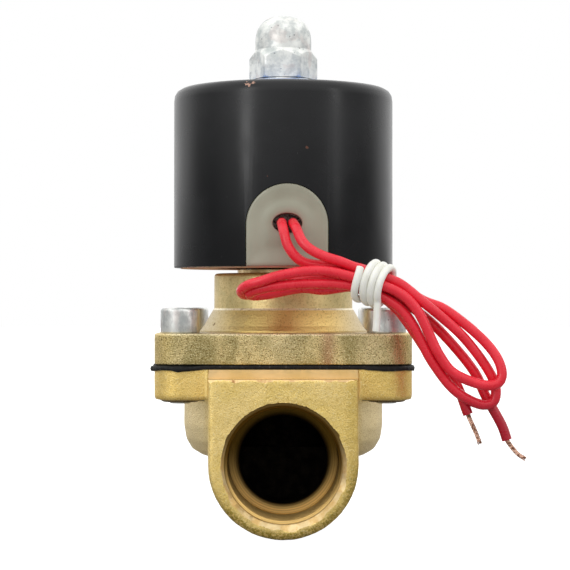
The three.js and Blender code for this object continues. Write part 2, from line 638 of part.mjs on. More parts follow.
// ---- plunger, spring and pilot seal -------------------------------------------------------------
function plunger() {
  let body = turned([
    [0, PLUNGER_BOTTOM],
    [PLUNGER_FOOT_RADIUS, PLUNGER_BOTTOM],
    [PLUNGER_FOOT_RADIUS, PLUNGER_BOTTOM + PLUNGER_FOOT_HEIGHT],
    [PLUNGER_NECK_RADIUS, PLUNGER_BOTTOM + PLUNGER_FOOT_HEIGHT],
    [PLUNGER_NECK_RADIUS, PLUNGER_NECK_END],
    [PLUNGER_RADIUS, PLUNGER_SHOULDER],
    [PLUNGER_RADIUS, PLUNGER_TOP - PLUNGER_CHAMFER],
    [PLUNGER_RADIUS - PLUNGER_CHAMFER, PLUNGER_TOP],
    [0, PLUNGER_TOP],
  ], INNER_SIDES);
  const pocketTop = PLUNGER_BOTTOM + SEAL_POCKET_DEPTH;
  body = body.subtract(disc(SEAL_RADIUS + GAP, PLUNGER_BOTTOM - OVERLAP, pocketTop, SMALL_SIDES));
  body = body.subtract(disc(SPRING_BORE_RADIUS, SPRING_BOTTOM - TOUCH, PLUNGER_TOP + OVERLAP, SMALL_SIDES));
  const groove = box(
    [PLUNGER_RADIUS - GROOVE_DEPTH, -GROOVE_HALF_WIDTH, PLUNGER_NECK_END - OVERLAP],
    [PLUNGER_RADIUS + OVERLAP, GROOVE_HALF_WIDTH, PLUNGER_TOP + OVERLAP],
  );
  return body.subtract(groove).subtract(groove.rotate([0, 0, 180]));
}

function pilotSeal() {
  return turned([
    [0, PILOT_SEAT_TOP + TOUCH],
    [SEAL_FACE_RADIUS, PILOT_SEAT_TOP + TOUCH],
    [SEAL_RADIUS, PILOT_SEAT_TOP + TOUCH + SEAL_CHAMFER],
    [SEAL_RADIUS, SEAL_TOP],
    [0, SEAL_TOP],
  ], SMALL_SIDES);
}

class HelixCurve extends THREE.Curve {
  constructor(radius, bottom, top, turns) {
    super();
    Object.assign(this, { radius, bottom, top, turns });
  }

  getPoint(t, target = new THREE.Vector3()) {
    const angle = 2 * Math.PI * this.turns * t;
    const z = this.bottom + (this.top - this.bottom) * t;
    return target.set(this.radius * Math.cos(angle), this.radius * Math.sin(angle), z);
  }
}

function plungerSpring() {
  const bottom = SPRING_BOTTOM + SPRING_WIRE_RADIUS;
  const top = SPRING_TOP - SPRING_WIRE_RADIUS;
  const helix = new HelixCurve(SPRING_RADIUS, bottom, top, SPRING_TURNS);
  return swept(helix, SPRING_WIRE_RADIUS, SPRING_SIDES, SPRING_TURNS * SPRING_STEPS_PER_TURN);
}

// ---- bonnet, guide tube and fixed core ----------------------------------------------------------
function bonnet() {
  const cone = turned([
    [0, BONNET_BOTTOM + OVERLAP],
    [CONE_BASE_RADIUS, BONNET_BOTTOM + OVERLAP],
    [CONE_BASE_RADIUS, BONNET_FLANGE_TOP],
    [NECK_RADIUS, CONE_TOP],
    [NECK_RADIUS, NECK_TOP - NECK_CHAMFER],
    [NECK_RADIUS - NECK_CHAMFER, NECK_TOP],
    [0, NECK_TOP],
  ]);
  const hollow = turned([
    [0, BONNET_BOTTOM - OVERLAP],
    [BONNET_CHAMBER_RADIUS, BONNET_BOTTOM - OVERLAP],
    [BONNET_CHAMBER_RADIUS, BONNET_CHAMBER_TOP],
    [NECK_BORE_RADIUS, BONNET_CHAMBER_TOP],
    [NECK_BORE_RADIUS, TUBE_SEAT_FLOOR],
    [TUBE_SEAT_RADIUS, TUBE_SEAT_FLOOR],
    [TUBE_SEAT_RADIUS, NECK_TOP + OVERLAP],
    [0, NECK_TOP + OVERLAP],
  ]);
  const flange = extruded(roundedSquare(FLANGE_SIDE, FLANGE_CORNER), BONNET_BOTTOM, BONNET_FLANGE_TOP);
  const blank = flange.add(cone).subtract(hollow);
  return drilled(blank, SCREW_HOLE_RADIUS, BONNET_BOTTOM - OVERLAP, BONNET_FLANGE_TOP + OVERLAP);
}

function bonnetScrew() {
  const seat = BONNET_FLANGE_TOP + TOUCH;
  const headTop = BONNET_FLANGE_TOP + SCREW_HEAD_HEIGHT;
  const rounding = SCREW_HEAD_ROUNDING;
  const screw = turned([
    [0, SCREW_END],
    [SCREW_RADIUS - SCREW_TIP_CHAMFER, SCREW_END],
    [SCREW_RADIUS, SCREW_END + SCREW_TIP_CHAMFER],
    [SCREW_RADIUS, seat],
    [SCREW_HEAD_RADIUS, seat],
    ...edgeArc(SCREW_HEAD_RADIUS - rounding, headTop - rounding, rounding, 0, 90, 3),
    [0, headTop],
  ], SMALL_SIDES);
  const socketFloor = headTop - SCREW_SOCKET_DEPTH;
  return screw.subtract(extruded(hexagon(SCREW_SOCKET_ACROSS_FLATS), socketFloor, headTop + OVERLAP));
}

function tubeORing() {
  const middle = TUBE_SEAT_FLOOR + TOUCH + O_RING_SECTION;
  const lastAngle = 360 - 360 / O_RING_SIDES;
  const section = edgeArc(O_RING_RADIUS, middle, O_RING_SECTION, 0, lastAngle, O_RING_SIDES - 1);
  return turnedRing(section, INNER_SIDES);
}

function guideTube() {
  return turnedRing([
    [TUBE_INNER_RADIUS, TUBE_FOOT_BOTTOM],
    [TUBE_FOOT_RADIUS, TUBE_FOOT_BOTTOM],
    [TUBE_FOOT_RADIUS, TUBE_FOOT_TOP],
    [TUBE_OUTER_RADIUS, TUBE_FOOT_TOP],
    [TUBE_OUTER_RADIUS, TUBE_TOP],
    [TUBE_INNER_RADIUS, TUBE_TOP],
  ], INNER_SIDES);
}

function tubeCollar() {
  return turnedRing([
    [TUBE_OUTER_RADIUS + GAP, TUBE_FOOT_TOP + TOUCH],
    [TUBE_FOOT_RADIUS, TUBE_FOOT_TOP + TOUCH],
    [TUBE_FOOT_RADIUS, COLLAR_TOP],
    [TUBE_OUTER_RADIUS + GAP, COLLAR_TOP],
  ], INNER_SIDES);
}

function fixedCore() {
  const core = turned([
    [0, CORE_BOTTOM],
    [CORE_RADIUS, CORE_BOTTOM],
    [CORE_RADIUS, TUBE_TOP + TOUCH],
    [TUBE_OUTER_RADIUS, TUBE_TOP + TOUCH],
    [TUBE_OUTER_RADIUS, CORE_HEAD_TOP],
    [STUD_RADIUS, CORE_HEAD_TOP],
    [STUD_RADIUS, STUD_TOP - STUD_CHAMFER],
    [STUD_RADIUS - STUD_CHAMFER, STUD_TOP],
    [0, STUD_TOP],
  ], INNER_SIDES);
  return core.subtract(disc(SPRING_BORE_RADIUS, CORE_BOTTOM - OVERLAP, SPRING_TOP + TOUCH, SMALL_SIDES));
}

// ---- top fastening ------------------------------------------------------------------------------
function labelDisc() {
  return turnedRing([
    [STUD_RADIUS + GAP, COIL_TOP + TOUCH],
    [LABEL_RADIUS, COIL_TOP + TOUCH],
    [LABEL_RADIUS, LABEL_TOP],
    [STUD_RADIUS + GAP, LABEL_TOP],
  ]);
}

function springWasher() {
  const ring = turnedRing([
    [STUD_RADIUS + GAP, LABEL_TOP + TOUCH],
    [WASHER_RADIUS, LABEL_TOP + TOUCH],
    [WASHER_RADIUS, WASHER_TOP],
    [STUD_RADIUS + GAP, WASHER_TOP],
  ], INNER_SIDES);
  return ring.subtract(box(
    [0, -WASHER_SLIT_HALF_WIDTH, LABEL_TOP - OVERLAP],
    [WASHER_RADIUS + OVERLAP, WASHER_SLIT_HALF_WIDTH, WASHER_TOP + OVERLAP],
  ));
}

function capNut() {
  const bottom = WASHER_TOP + TOUCH;
  const cornerRadius = NUT_ACROSS_FLATS / Math.sqrt(3);
  const hex = extruded(hexagon(NUT_ACROSS_FLATS), bottom, NUT_HEX_TOP);
  const chamfer = turned([
    [0, bottom],
    [cornerRadius + TOUCH, bottom],
    [cornerRadius + TOUCH, NUT_SHOULDER],
    [NUT_DOME_RADIUS, NUT_HEX_TOP],
    [0, NUT_HEX_TOP],
  ]);
  const dome = turned([
    [0, bottom + OVERLAP],
    [NUT_DOME_RADIUS, bottom + OVERLAP],
    ...edgeArc(0, OVERALL_TOP - NUT_DOME_RADIUS, NUT_DOME_RADIUS, 0, NUT_DOME_FLAT_ANGLE, 5),
    [0, OVERALL_TOP],
  ]);
  const bore = disc(STUD_RADIUS + GAP, bottom - OVERLAP, STUD_TOP + GAP, SMALL_SIDES);
  const nut = hex.intersect(chamfer).add(dome).subtract(bore);
  return nut.rotate([0, 0, NUT_YAW_DEGREES]);
}

// ---- coil ---------------------------------------------------------------------------------------
function coilCan() {
  const inner = COIL_RADIUS - CAN_WALL;
  const roof = COIL_TOP - CAN_WALL;
  const edge = CAN_EDGE_RADIUS;
  const shell = turnedRing([
    [inner, COIL_BOTTOM],
    [COIL_RADIUS, COIL_BOTTOM],
    ...edgeArc(COIL_RADIUS - edge, COIL_TOP - edge, edge, 0, 90),
    [COIL_HOLE_RADIUS, COIL_TOP],
    [COIL_HOLE_RADIUS, roof],
    ...edgeArc(COIL_RADIUS - edge, COIL_TOP - edge, edge - CAN_WALL, 90, 0, 3),
  ], CAN_SIDES);
  const notchTop = COIL_BOTTOM + GROMMET_HEIGHT + GAP / 2;
  const notch = arch(GROMMET_HALF_WIDTH + GAP / 2, COIL_BOTTOM - OVERLAP, notchTop);
  return shell.subtract(extrudedAlongY(notch, -COIL_RADIUS - OVERLAP, GROMMET_INNER_Y));
}

function coilBasePlate() {
  const plate = turnedRing([
    [COIL_HOLE_RADIUS, COIL_BOTTOM + TOUCH],
    [COIL_RADIUS - CAN_WALL - GAP, COIL_BOTTOM + TOUCH],
    [COIL_RADIUS - CAN_WALL - GAP, BASE_PLATE_TOP],
    [COIL_HOLE_RADIUS, BASE_PLATE_TOP],
  ]);
  const halfNotch = GROMMET_HALF_WIDTH + GROMMET_LIP + GAP;
  return plate.subtract(box(
    [-halfNotch, -COIL_RADIUS, COIL_BOTTOM - OVERLAP],
    [halfNotch, GROMMET_INNER_Y + GAP, BASE_PLATE_NOTCH_TOP],
  ));
}

function coilBobbin() {
  const hub = COIL_HOLE_RADIUS + BOBBIN_WALL;
  return turnedRing([
    [COIL_HOLE_RADIUS, BOBBIN_BOTTOM],
    [BOBBIN_FLANGE_RADIUS, BOBBIN_BOTTOM],
    [BOBBIN_FLANGE_RADIUS, BOBBIN_BOTTOM + BOBBIN_FLANGE],
    [hub, BOBBIN_BOTTOM + BOBBIN_FLANGE],
    [hub, BOBBIN_TOP - BOBBIN_FLANGE],
    [BOBBIN_FLANGE_RADIUS, BOBBIN_TOP - BOBBIN_FLANGE],
    [BOBBIN_FLANGE_RADIUS, BOBBIN_TOP],
    [COIL_HOLE_RADIUS, BOBBIN_TOP],
  ], INNER_SIDES);
}

function coilWinding() {
  return sleeve(COIL_HOLE_RADIUS + BOBBIN_WALL + GAP, WINDING_RADIUS, WINDING_BOTTOM, WINDING_TOP);
}

function windingTape() {
  return sleeve(WINDING_RADIUS + GAP, TAPE_RADIUS, WINDING_BOTTOM, WINDING_TOP);
}

function coilPotting() {
  const outer = COIL_RADIUS - CAN_WALL - GAP;
  const ring = sleeve(BOBBIN_FLANGE_RADIUS + GAP, outer, BOBBIN_BOTTOM, POTTING_TOP);
  const halfChannel = GROMMET_HALF_WIDTH + GROMMET_LIP + GAP;
  const channelTop = COIL_BOTTOM + GROMMET_HEIGHT + GROMMET_LIP + GAP;
  return ring.subtract(box(
    [-halfChannel, -COIL_RADIUS, COIL_BOTTOM],
    [halfChannel, POTTING_CHANNEL_DEPTH - BOBBIN_FLANGE_RADIUS, channelTop],
  ));
}

function leadGrommet() {
  const bottom = COIL_BOTTOM + TOUCH;
  const plug = extrudedAlongY(
    arch(GROMMET_HALF_WIDTH, bottom, COIL_BOTTOM + GROMMET_HEIGHT),
    -COIL_RADIUS - OVERLAP,
    GROMMET_INNER_Y,
  ).intersect(disc(COIL_RADIUS, COIL_BOTTOM - OVERLAP, COIL_TOP, CAN_SIDES));
  const lip = extrudedAlongY(
    arch(GROMMET_HALF_WIDTH + GROMMET_LIP, GROMMET_LIP_BOTTOM, COIL_BOTTOM + GROMMET_HEIGHT + GROMMET_LIP),
    -COIL_RADIUS,
    GROMMET_INNER_Y,
  ).intersect(disc(COIL_RADIUS - CAN_WALL - GAP, COIL_BOTTOM - OVERLAP, COIL_TOP, CAN_SIDES));
  const dishWidth = LEAD_HOLE_WIDTH + 2 * LEAD_DISH_MARGIN;
  const dishHeight = LEAD_HOLE_HEIGHT + 2 * LEAD_DISH_MARGIN;
  const hole = slotOutline(LEAD_HOLE_WIDTH, LEAD_HOLE_HEIGHT, LEAD_HOLE_Z);
  const dish = slotOutline(dishWidth, dishHeight, LEAD_HOLE_Z);
  const front = -COIL_RADIUS - OVERLAP;
  return plug.add(lip)
    .subtract(extrudedAlongY(hole, front, GROMMET_INNER_Y + OVERLAP, 0, 6))
    .subtract(extrudedAlongY(dish, front, LEAD_DISH_DEPTH - COIL_RADIUS, 0, 6));
}

// ---- leads and their tie ------------------------------------------------------------------------
function lead(route) {
  const curve = routeCurve(route);
  const steps = Math.round(curve.getLength() / LEAD_STEP);
  return swept(curve, LEAD_RADIUS, LEAD_SIDES, steps);
}

function conductor(route) {
  return swept(routeCurve(route), CONDUCTOR_RADIUS, CONDUCTOR_SIDES, CONDUCTOR_STEPS);
}

// Turns of wire side by side round the bundle, with a cut start at the front and a hanging tail.
function leadTie() {
  const along = new THREE.Vector3(Math.cos(TIE_SLOPE), 0, -Math.sin(TIE_SLOPE));
  const up = new THREE.Vector3(Math.sin(TIE_SLOPE), 0, Math.cos(TIE_SLOPE));
  const front = new THREE.Vector3(0, -1, 0);
  const points = [];
  const steps = Math.round(TIE_TURNS * TIE_STEPS_PER_TURN);
  for (let i = 0; i <= steps; i += 1) {
    const turns = i / TIE_STEPS_PER_TURN;
    const angle = TIE_START_ANGLE + 2 * Math.PI * turns;
    const point = TIE_CENTRE.clone().addScaledVector(along, (turns - TIE_TURNS / 2) * TIE_PITCH);
    point.addScaledVector(up, TIE_RADIUS * Math.cos(angle));
    point.addScaledVector(front, TIE_RADIUS * Math.sin(angle));
    points.push(point);
  }
  const last = points[points.length - 1];
  points.push(last.clone().add(new THREE.Vector3(0, -0.1, -TIE_TAIL / 2)));
  points.push(last.clone().add(new THREE.Vector3(-0.3, 0.2, -TIE_TAIL)));
  return swept(new THREE.CatmullRomCurve3(points), TIE_WIRE_RADIUS, TIE_WIRE_SIDES, steps + 4);
}

// ---- scene graph --------------------------------------------------------------------------------
function addPiece(group, name, solid, finish) {
  const mesh = new THREE.Mesh(toGeometry(solid), new THREE.MeshStandardMaterial(FINISHES[finish]));
  mesh.name = name;
  group.add(mesh);
  return mesh;
}

const valve = new THREE.Group();
addPiece(valve, 'valve_body', valveBody(), 'castBrass');
addPiece(valve, 'diaphragm', diaphragm(), 'blackRubber');
addPiece(valve, 'main_disc', mainDisc(), 'machinedBrass');
addPiece(valve, 'lift_cage', liftCage(), 'stainless');
addPiece(valve, 'diaphragm_plate', diaphragmPlate(), 'machinedBrass');
addPiece(valve, 'disc_nut', discNut(), 'machinedBrass');
addPiece(valve, 'plunger', plunger(), 'stainless');
addPiece(valve, 'pilot_seal', pilotSeal(), 'blackRubber');
addPiece(valve, 'plunger_spring', plungerSpring(), 'stainless');
addPiece(valve, 'bonnet', bonnet(), 'patinaBrass');
addPiece(valve, 'tube_o_ring', tubeORing(), 'blackRubber');
addPiece(valve, 'guide_tube', guideTube(), 'stainless');
addPiece(valve, 'tube_collar', tubeCollar(), 'machinedBrass');
addPiece(valve, 'fixed_core', fixedCore(), 'stainless');
screwPlaces().forEach(([x, y], index) => {
  addPiece(valve, `bonnet_screw_${index + 1}`, bonnetScrew(), 'zinc').position.set(x, y, 0);
});
addPiece(valve, 'label_disc', labelDisc(), 'blueLabel');
addPiece(valve, 'spring_washer', springWasher(), 'zinc');
addPiece(valve, 'cap_nut', capNut(), 'zinc');

const coil = new THREE.Group();
coil.rotation.z = COIL_YAW;
addPiece(coil, 'coil_can', coilCan(), 'blackPaint');
addPiece(coil, 'coil_base_plate', coilBasePlate(), 'copperPlate');
addPiece(coil, 'coil_bobbin', coilBobbin(), 'nylon');
addPiece(coil, 'coil_winding', coilWinding(), 'copper');
addPiece(coil, 'winding_tape', windingTape(), 'yellowTape');
addPiece(coil, 'coil_potting', coilPotting(), 'potting');
addPiece(coil, 'lead_grommet', leadGrommet(), 'greyPlastic');
valve.add(coil);

addPiece(valve, 'lead_a', lead(LEAD_A_ROUTE), 'redInsulation');
addPiece(valve, 'lead_b', lead(LEAD_B_ROUTE), 'redInsulation');
addPiece(valve, 'lead_a_conductor', conductor(CONDUCTOR_A_ROUTE), 'copper');
addPiece(valve, 'lead_b_conductor', conductor(CONDUCTOR_B_ROUTE), 'copper');
addPiece(valve, 'lead_tie', leadTie(), 'whitePlastic');

export default valve;
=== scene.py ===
"""Looks for the two-way brass solenoid valve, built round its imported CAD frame.

Shapes are worked out in millimetres, in the frame of the CAD model, and turned into metres where a
mesh or curve is made. The frame is: origin where pipe axis and stem axis meet, +Z up the stem, inlet
port towards -Y.
"""
import math

import bmesh
import bpy
import numpy as np
from mathutils import Matrix, Vector, noise


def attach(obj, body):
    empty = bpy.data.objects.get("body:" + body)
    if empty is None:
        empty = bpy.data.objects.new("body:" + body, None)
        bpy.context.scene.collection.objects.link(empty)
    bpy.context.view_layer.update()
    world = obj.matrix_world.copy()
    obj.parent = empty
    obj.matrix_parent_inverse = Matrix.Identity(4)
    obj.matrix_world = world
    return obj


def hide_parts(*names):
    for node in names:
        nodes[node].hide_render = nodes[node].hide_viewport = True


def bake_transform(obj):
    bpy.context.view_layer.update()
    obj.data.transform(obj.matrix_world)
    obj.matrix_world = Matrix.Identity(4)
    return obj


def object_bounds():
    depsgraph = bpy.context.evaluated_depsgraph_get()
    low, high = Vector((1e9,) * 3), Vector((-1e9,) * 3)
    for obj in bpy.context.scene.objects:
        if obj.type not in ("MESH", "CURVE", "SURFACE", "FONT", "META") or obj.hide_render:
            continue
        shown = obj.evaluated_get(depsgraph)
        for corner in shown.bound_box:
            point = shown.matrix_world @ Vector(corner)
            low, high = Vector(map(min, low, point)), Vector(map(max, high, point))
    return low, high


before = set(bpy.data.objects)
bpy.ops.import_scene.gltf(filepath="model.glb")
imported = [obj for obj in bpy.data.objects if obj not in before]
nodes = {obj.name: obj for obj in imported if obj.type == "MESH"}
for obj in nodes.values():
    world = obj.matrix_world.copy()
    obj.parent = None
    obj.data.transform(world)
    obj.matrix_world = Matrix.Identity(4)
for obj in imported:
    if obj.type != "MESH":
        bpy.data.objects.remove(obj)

cad_low, cad_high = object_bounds()
MM = 0.001
ON_AXIS = 0.01      # radius of a capped end's first ring, in millimetres
BEYOND = 40         # reach of a cutter that runs past the body's sides
ABOVE = 30          # height of a cutter that runs past the body's top
FACE_INSET = 8      # how far inside its edge a flat face's profile starts

# ---- dimensions, in millimetres, as in the CAD model ----------------------------------------------
FLANGE_HALF = 28.5
FLANGE_CORNER = 5.7
BODY_FLANGE_BOTTOM, BODY_FLANGE_TOP = 13.4, 20.1
PORT_FACE = 36.5
PORT_HALF_WIDTH = 16.2
PORT_TOP = 18.2
PAD_FRONT = 28.9
BOWL_RADIUS = 23.1
BARREL_RADIUS = 14.4
THREAD_MINOR, THREAD_MAJOR = 12.05, 13.25
THREAD_PITCH = 1.814
THREAD_DEPTH = 15
CHAMFER_DEPTH = 0.95
WEAR_DIRECTION = math.radians(-63)
PASSAGE_RADIUS, PASSAGE_START, INLET_END = 9.8, 22.5, 12.6
SEAT_BORE, SEAT_RADIUS, SEAT_TOP = 9.5, 12.3, 16
CHAMBER_RADIUS, CHAMBER_FLOOR, WELL_FLOOR, WELL_EDGE = 19.5, 12.3, 2, 6
SCREW_OFFSET, SCREW_HOLE_RADIUS = 22.8, 2.8
BOSS_RADIUS, BOSS_BOTTOM = 4.1, 12.8
BONNET_BOTTOM, BONNET_FLANGE_TOP = 21.1, 28
CONE_RADIUS, NECK_RADIUS = 19, 16.1
CONE_TOP, NECK_TOP = 33.2, 41.5
COIL_BOTTOM, COIL_TOP, COIL_RADIUS = 42.8, 84.4, 25.5
COIL_YAW = math.radians(2.1)
NUT_YAW = math.radians(-2.9)
NUT_BOTTOM, NUT_TOP = 86.8, 101.65
STUD_BORE = 4.3
SLOT_Z = 52.3
CENTRE_BORE = 8.8
NOTCH_BACK = -21.5
LEAD_DIAMETER = 2.22


# ---- camera ---------------------------------------------------------------------------------------
def make_camera():
    data = bpy.data.cameras.new("camera")
    data.sensor_width = 36
    data.lens = 116.15
    data.clip_start, data.clip_end = 0.01, 20
    camera = bpy.data.objects.new("camera", data)
    camera.location = (0, -0.430, 0.0353)
    camera.rotation_euler = (math.radians(90.47), 0, math.radians(-0.053))
    bpy.context.scene.collection.objects.link(camera)
    bpy.context.scene.camera = camera


make_camera()


# ---- mesh helpers ---------------------------------------------------------------------------------
def link(name, data):
    piece = bpy.data.objects.new(name, data)
    bpy.context.scene.collection.objects.link(piece)
    return piece


def mesh_piece(name, vertices, faces):
    """A closed mesh from points in millimetres, with its faces turned outwards."""
    mesh = bpy.data.meshes.new(name)
    mesh.from_pydata([tuple(v) for v in np.asarray(vertices) * MM], [], faces)
    shape = bmesh.new()
    shape.from_mesh(mesh)
    bmesh.ops.recalc_face_normals(shape, faces=shape.faces)
    shape.to_mesh(mesh)
    shape.free()
    return link(name, mesh)


def skin(name, rings, ends="caps"):
    """Closed rings of equal length, joined one to the next. The ends are capped, or joined up (loop)."""
    rings = np.asarray(rings, float)
    count, size = rings.shape[:2]
    faces = []
    for i in range(count if ends == "loop" else count - 1):
        low, high = i * size, (i + 1) % count * size
        for j in range(size):
            k = (j + 1) % size
            faces.append((low + j, low + k, high + k, high + j))
    if ends == "caps":
        faces.append(tuple(reversed(range(size))))
        faces.append(tuple(range((count - 1) * size, count * size)))
    return mesh_piece(name, rings.reshape(-1, 3), faces)


def rounded(corners, steps=4):
    """A closed outline from corners (u, v, fillet)."""
    points = []
    for i, (u, v, fillet) in enumerate(corners):
        corner = Vector((u, v))
        if fillet <= 0:
            points.append((u, v))
            continue
        before = Vector(corners[i - 1][:2]) - corner
        after = Vector(corners[(i + 1) % len(corners)][:2]) - corner
        half = before.angle(after) / 2
        reach = fillet / math.tan(half)
        start = corner + before.normalized() * reach
        end = corner + after.normalized() * reach
        for step in range(steps + 1):
            t = step / steps
            point = start * (1 - t) ** 2 + corner * 2 * t * (1 - t) + end * t * t
            points.append((point.x, point.y))
    return points


def around(segments):
    """Angles evenly spaced round a circle."""
    return np.linspace(0, 2 * math.pi, segments, endpoint=False)


def circle(radius, station, angles, along_y=False):
    """Points at these angles about Z, at a height, or about Y."""
    across, up = radius * np.cos(angles), radius * np.sin(angles)
    level = np.full(len(angles), float(station))
    return np.stack([across, level, up] if along_y else [across, up, level], 1)


def lathe(name, corners, segments=96, ends="loop", along_y=False):
    """A profile of (radius, height, fillet) corners, turned about Z, or about Y."""
    angles = around(segments)
    rings = [circle(radius, height, angles, along_y) for radius, height in rounded(corners)]
    return skin(name, rings, ends)


def rod(name, radius, bottom, top, segments, along_y=False):
    """A plain cylinder about Z, or about Y."""
    corners = [(ON_AXIS, bottom, 0), (radius, bottom, 0), (radius, top, 0), (ON_AXIS, top, 0)]
    return lathe(name, corners, segments, "caps", along_y)


def moved(piece, x, y):
    piece.data.transform(Matrix.Translation((x * MM, y * MM, 0)))
    return piece


def rods_at_screws(radius, bottom, top, segments):
    """Plain cylinders on the axes of the four screws."""
    sides = (-SCREW_OFFSET, SCREW_OFFSET)
    return [moved(rod("rod", radius, bottom, top, segments), x, y) for x in sides for y in sides]


def square_ring(half, corner, z, arc=8, straight=1):
    """Points round a square with rounded corners, at height z."""
    inner = half - corner
    ring = []
    for side in range(4):
        turn = side * math.pi / 2
        cx, cy = inner * (1, -1, -1, 1)[side], inner * (1, 1, -1, -1)[side]
        for step in range(arc + 1):
            angle = turn + step / arc * math.pi / 2
            ring.append((cx + corner * math.cos(angle), cy + corner * math.sin(angle), z))
        for step in range(1, straight):
            run = 2 * inner * step / straight
            x = cx - corner * math.sin(turn) - run * math.cos(turn)
            ring.append((x, cy + corner * math.cos(turn) - run * math.sin(turn), z))
    return ring


def slab(name, half, corner, bottom, top, edge):
    """A square plate with rounded corners and rounded edges."""
    corners = [(FACE_INSET, bottom, 0), (0, bottom, edge), (0, top, edge), (FACE_INSET, top, 0)]
    rings = []
    for inset, z in rounded(corners):
        if inset < corner:
            rings.append(square_ring(half - inset, corner - inset, z))
    return skin(name, rings)


def port_outline(half_width, top, inset=0, steps=28):
    """Flat top, straight sides and a half circle about the pipe axis below, as (x, z) points."""
    half = half_width - inset
    points = [(half, top - inset), (-half, top - inset)]
    for step in range(steps + 1):
        angle = math.pi + step / steps * math.pi
        points.append((half * math.cos(angle), half * math.sin(angle)))
    return points


def port_block(name, side, top):
    """The U-shaped block round a port, rounded towards its face."""
    rings = []
    for inset, y in rounded([(FACE_INSET, PORT_FACE, 0), (0, PORT_FACE, 1.1), (0, 15, 0)]):
        if inset < FACE_INSET:
            outline = port_outline(PORT_HALF_WIDTH, top, inset)
            rings.append([(x, side * y, z) for x, z in outline])
    return skin(name, rings)


def cuboid(name, low, high):
    base = [(low[0], low[1]), (high[0], low[1]), (high[0], high[1]), (low[0], high[1])]
    return skin(name, [[(u, v, z) for u, v in base] for z in (low[2], high[2])])


def joined(name, parts):
    """Several meshes as one object."""
    shape = bmesh.new()
    for part in parts:
        shape.from_mesh(part.data)
        bpy.data.objects.remove(part)
    mesh = bpy.data.meshes.new(name)
    shape.to_mesh(mesh)
    shape.free()
    return link(name, mesh)


def apply_modifiers(piece):
    graph = bpy.context.evaluated_depsgraph_get()
    mesh = bpy.data.meshes.new_from_object(piece.evaluated_get(graph))
    piece.modifiers.clear()
    piece.data = mesh


def combine(piece, other, operation, finish=None):
    """Boolean of two meshes. The other one is used up; its finish marks the faces that it leaves."""
    if finish:
        other.data.materials.clear()
        other.data.materials.append(finish)
    boolean = piece.modifiers.new("boolean", "BOOLEAN")
    boolean.object = other
    boolean.operation = operation
    boolean.solver = "MANIFOLD"
    boolean.material_mode = "TRANSFER"
    apply_modifiers(piece)
    bpy.data.objects.remove(other)


def cut(piece, tool, finish=None):
    """Takes a tool's shape out of a piece. The tool is used up."""
    combine(piece, tool, "DIFFERENCE", finish)


def shade(piece, angle=32):
    """Smooth faces, with edges sharper than the angle kept sharp."""
    piece.data.shade_smooth()
    piece.data.set_sharp_from_angle(angle=math.radians(angle))
    return piece


def paint(piece, finish):
    piece.data.materials.clear()
    piece.data.materials.append(finish)
    return piece


def turned_with_coil(piece):
    piece.data.transform(Matrix.Rotation(COIL_YAW, 4, "Z"))
    return piece


def place(piece, body, slot, *replaced):
    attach(piece, body)
    if replaced:
        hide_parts(*replaced)
    return piece


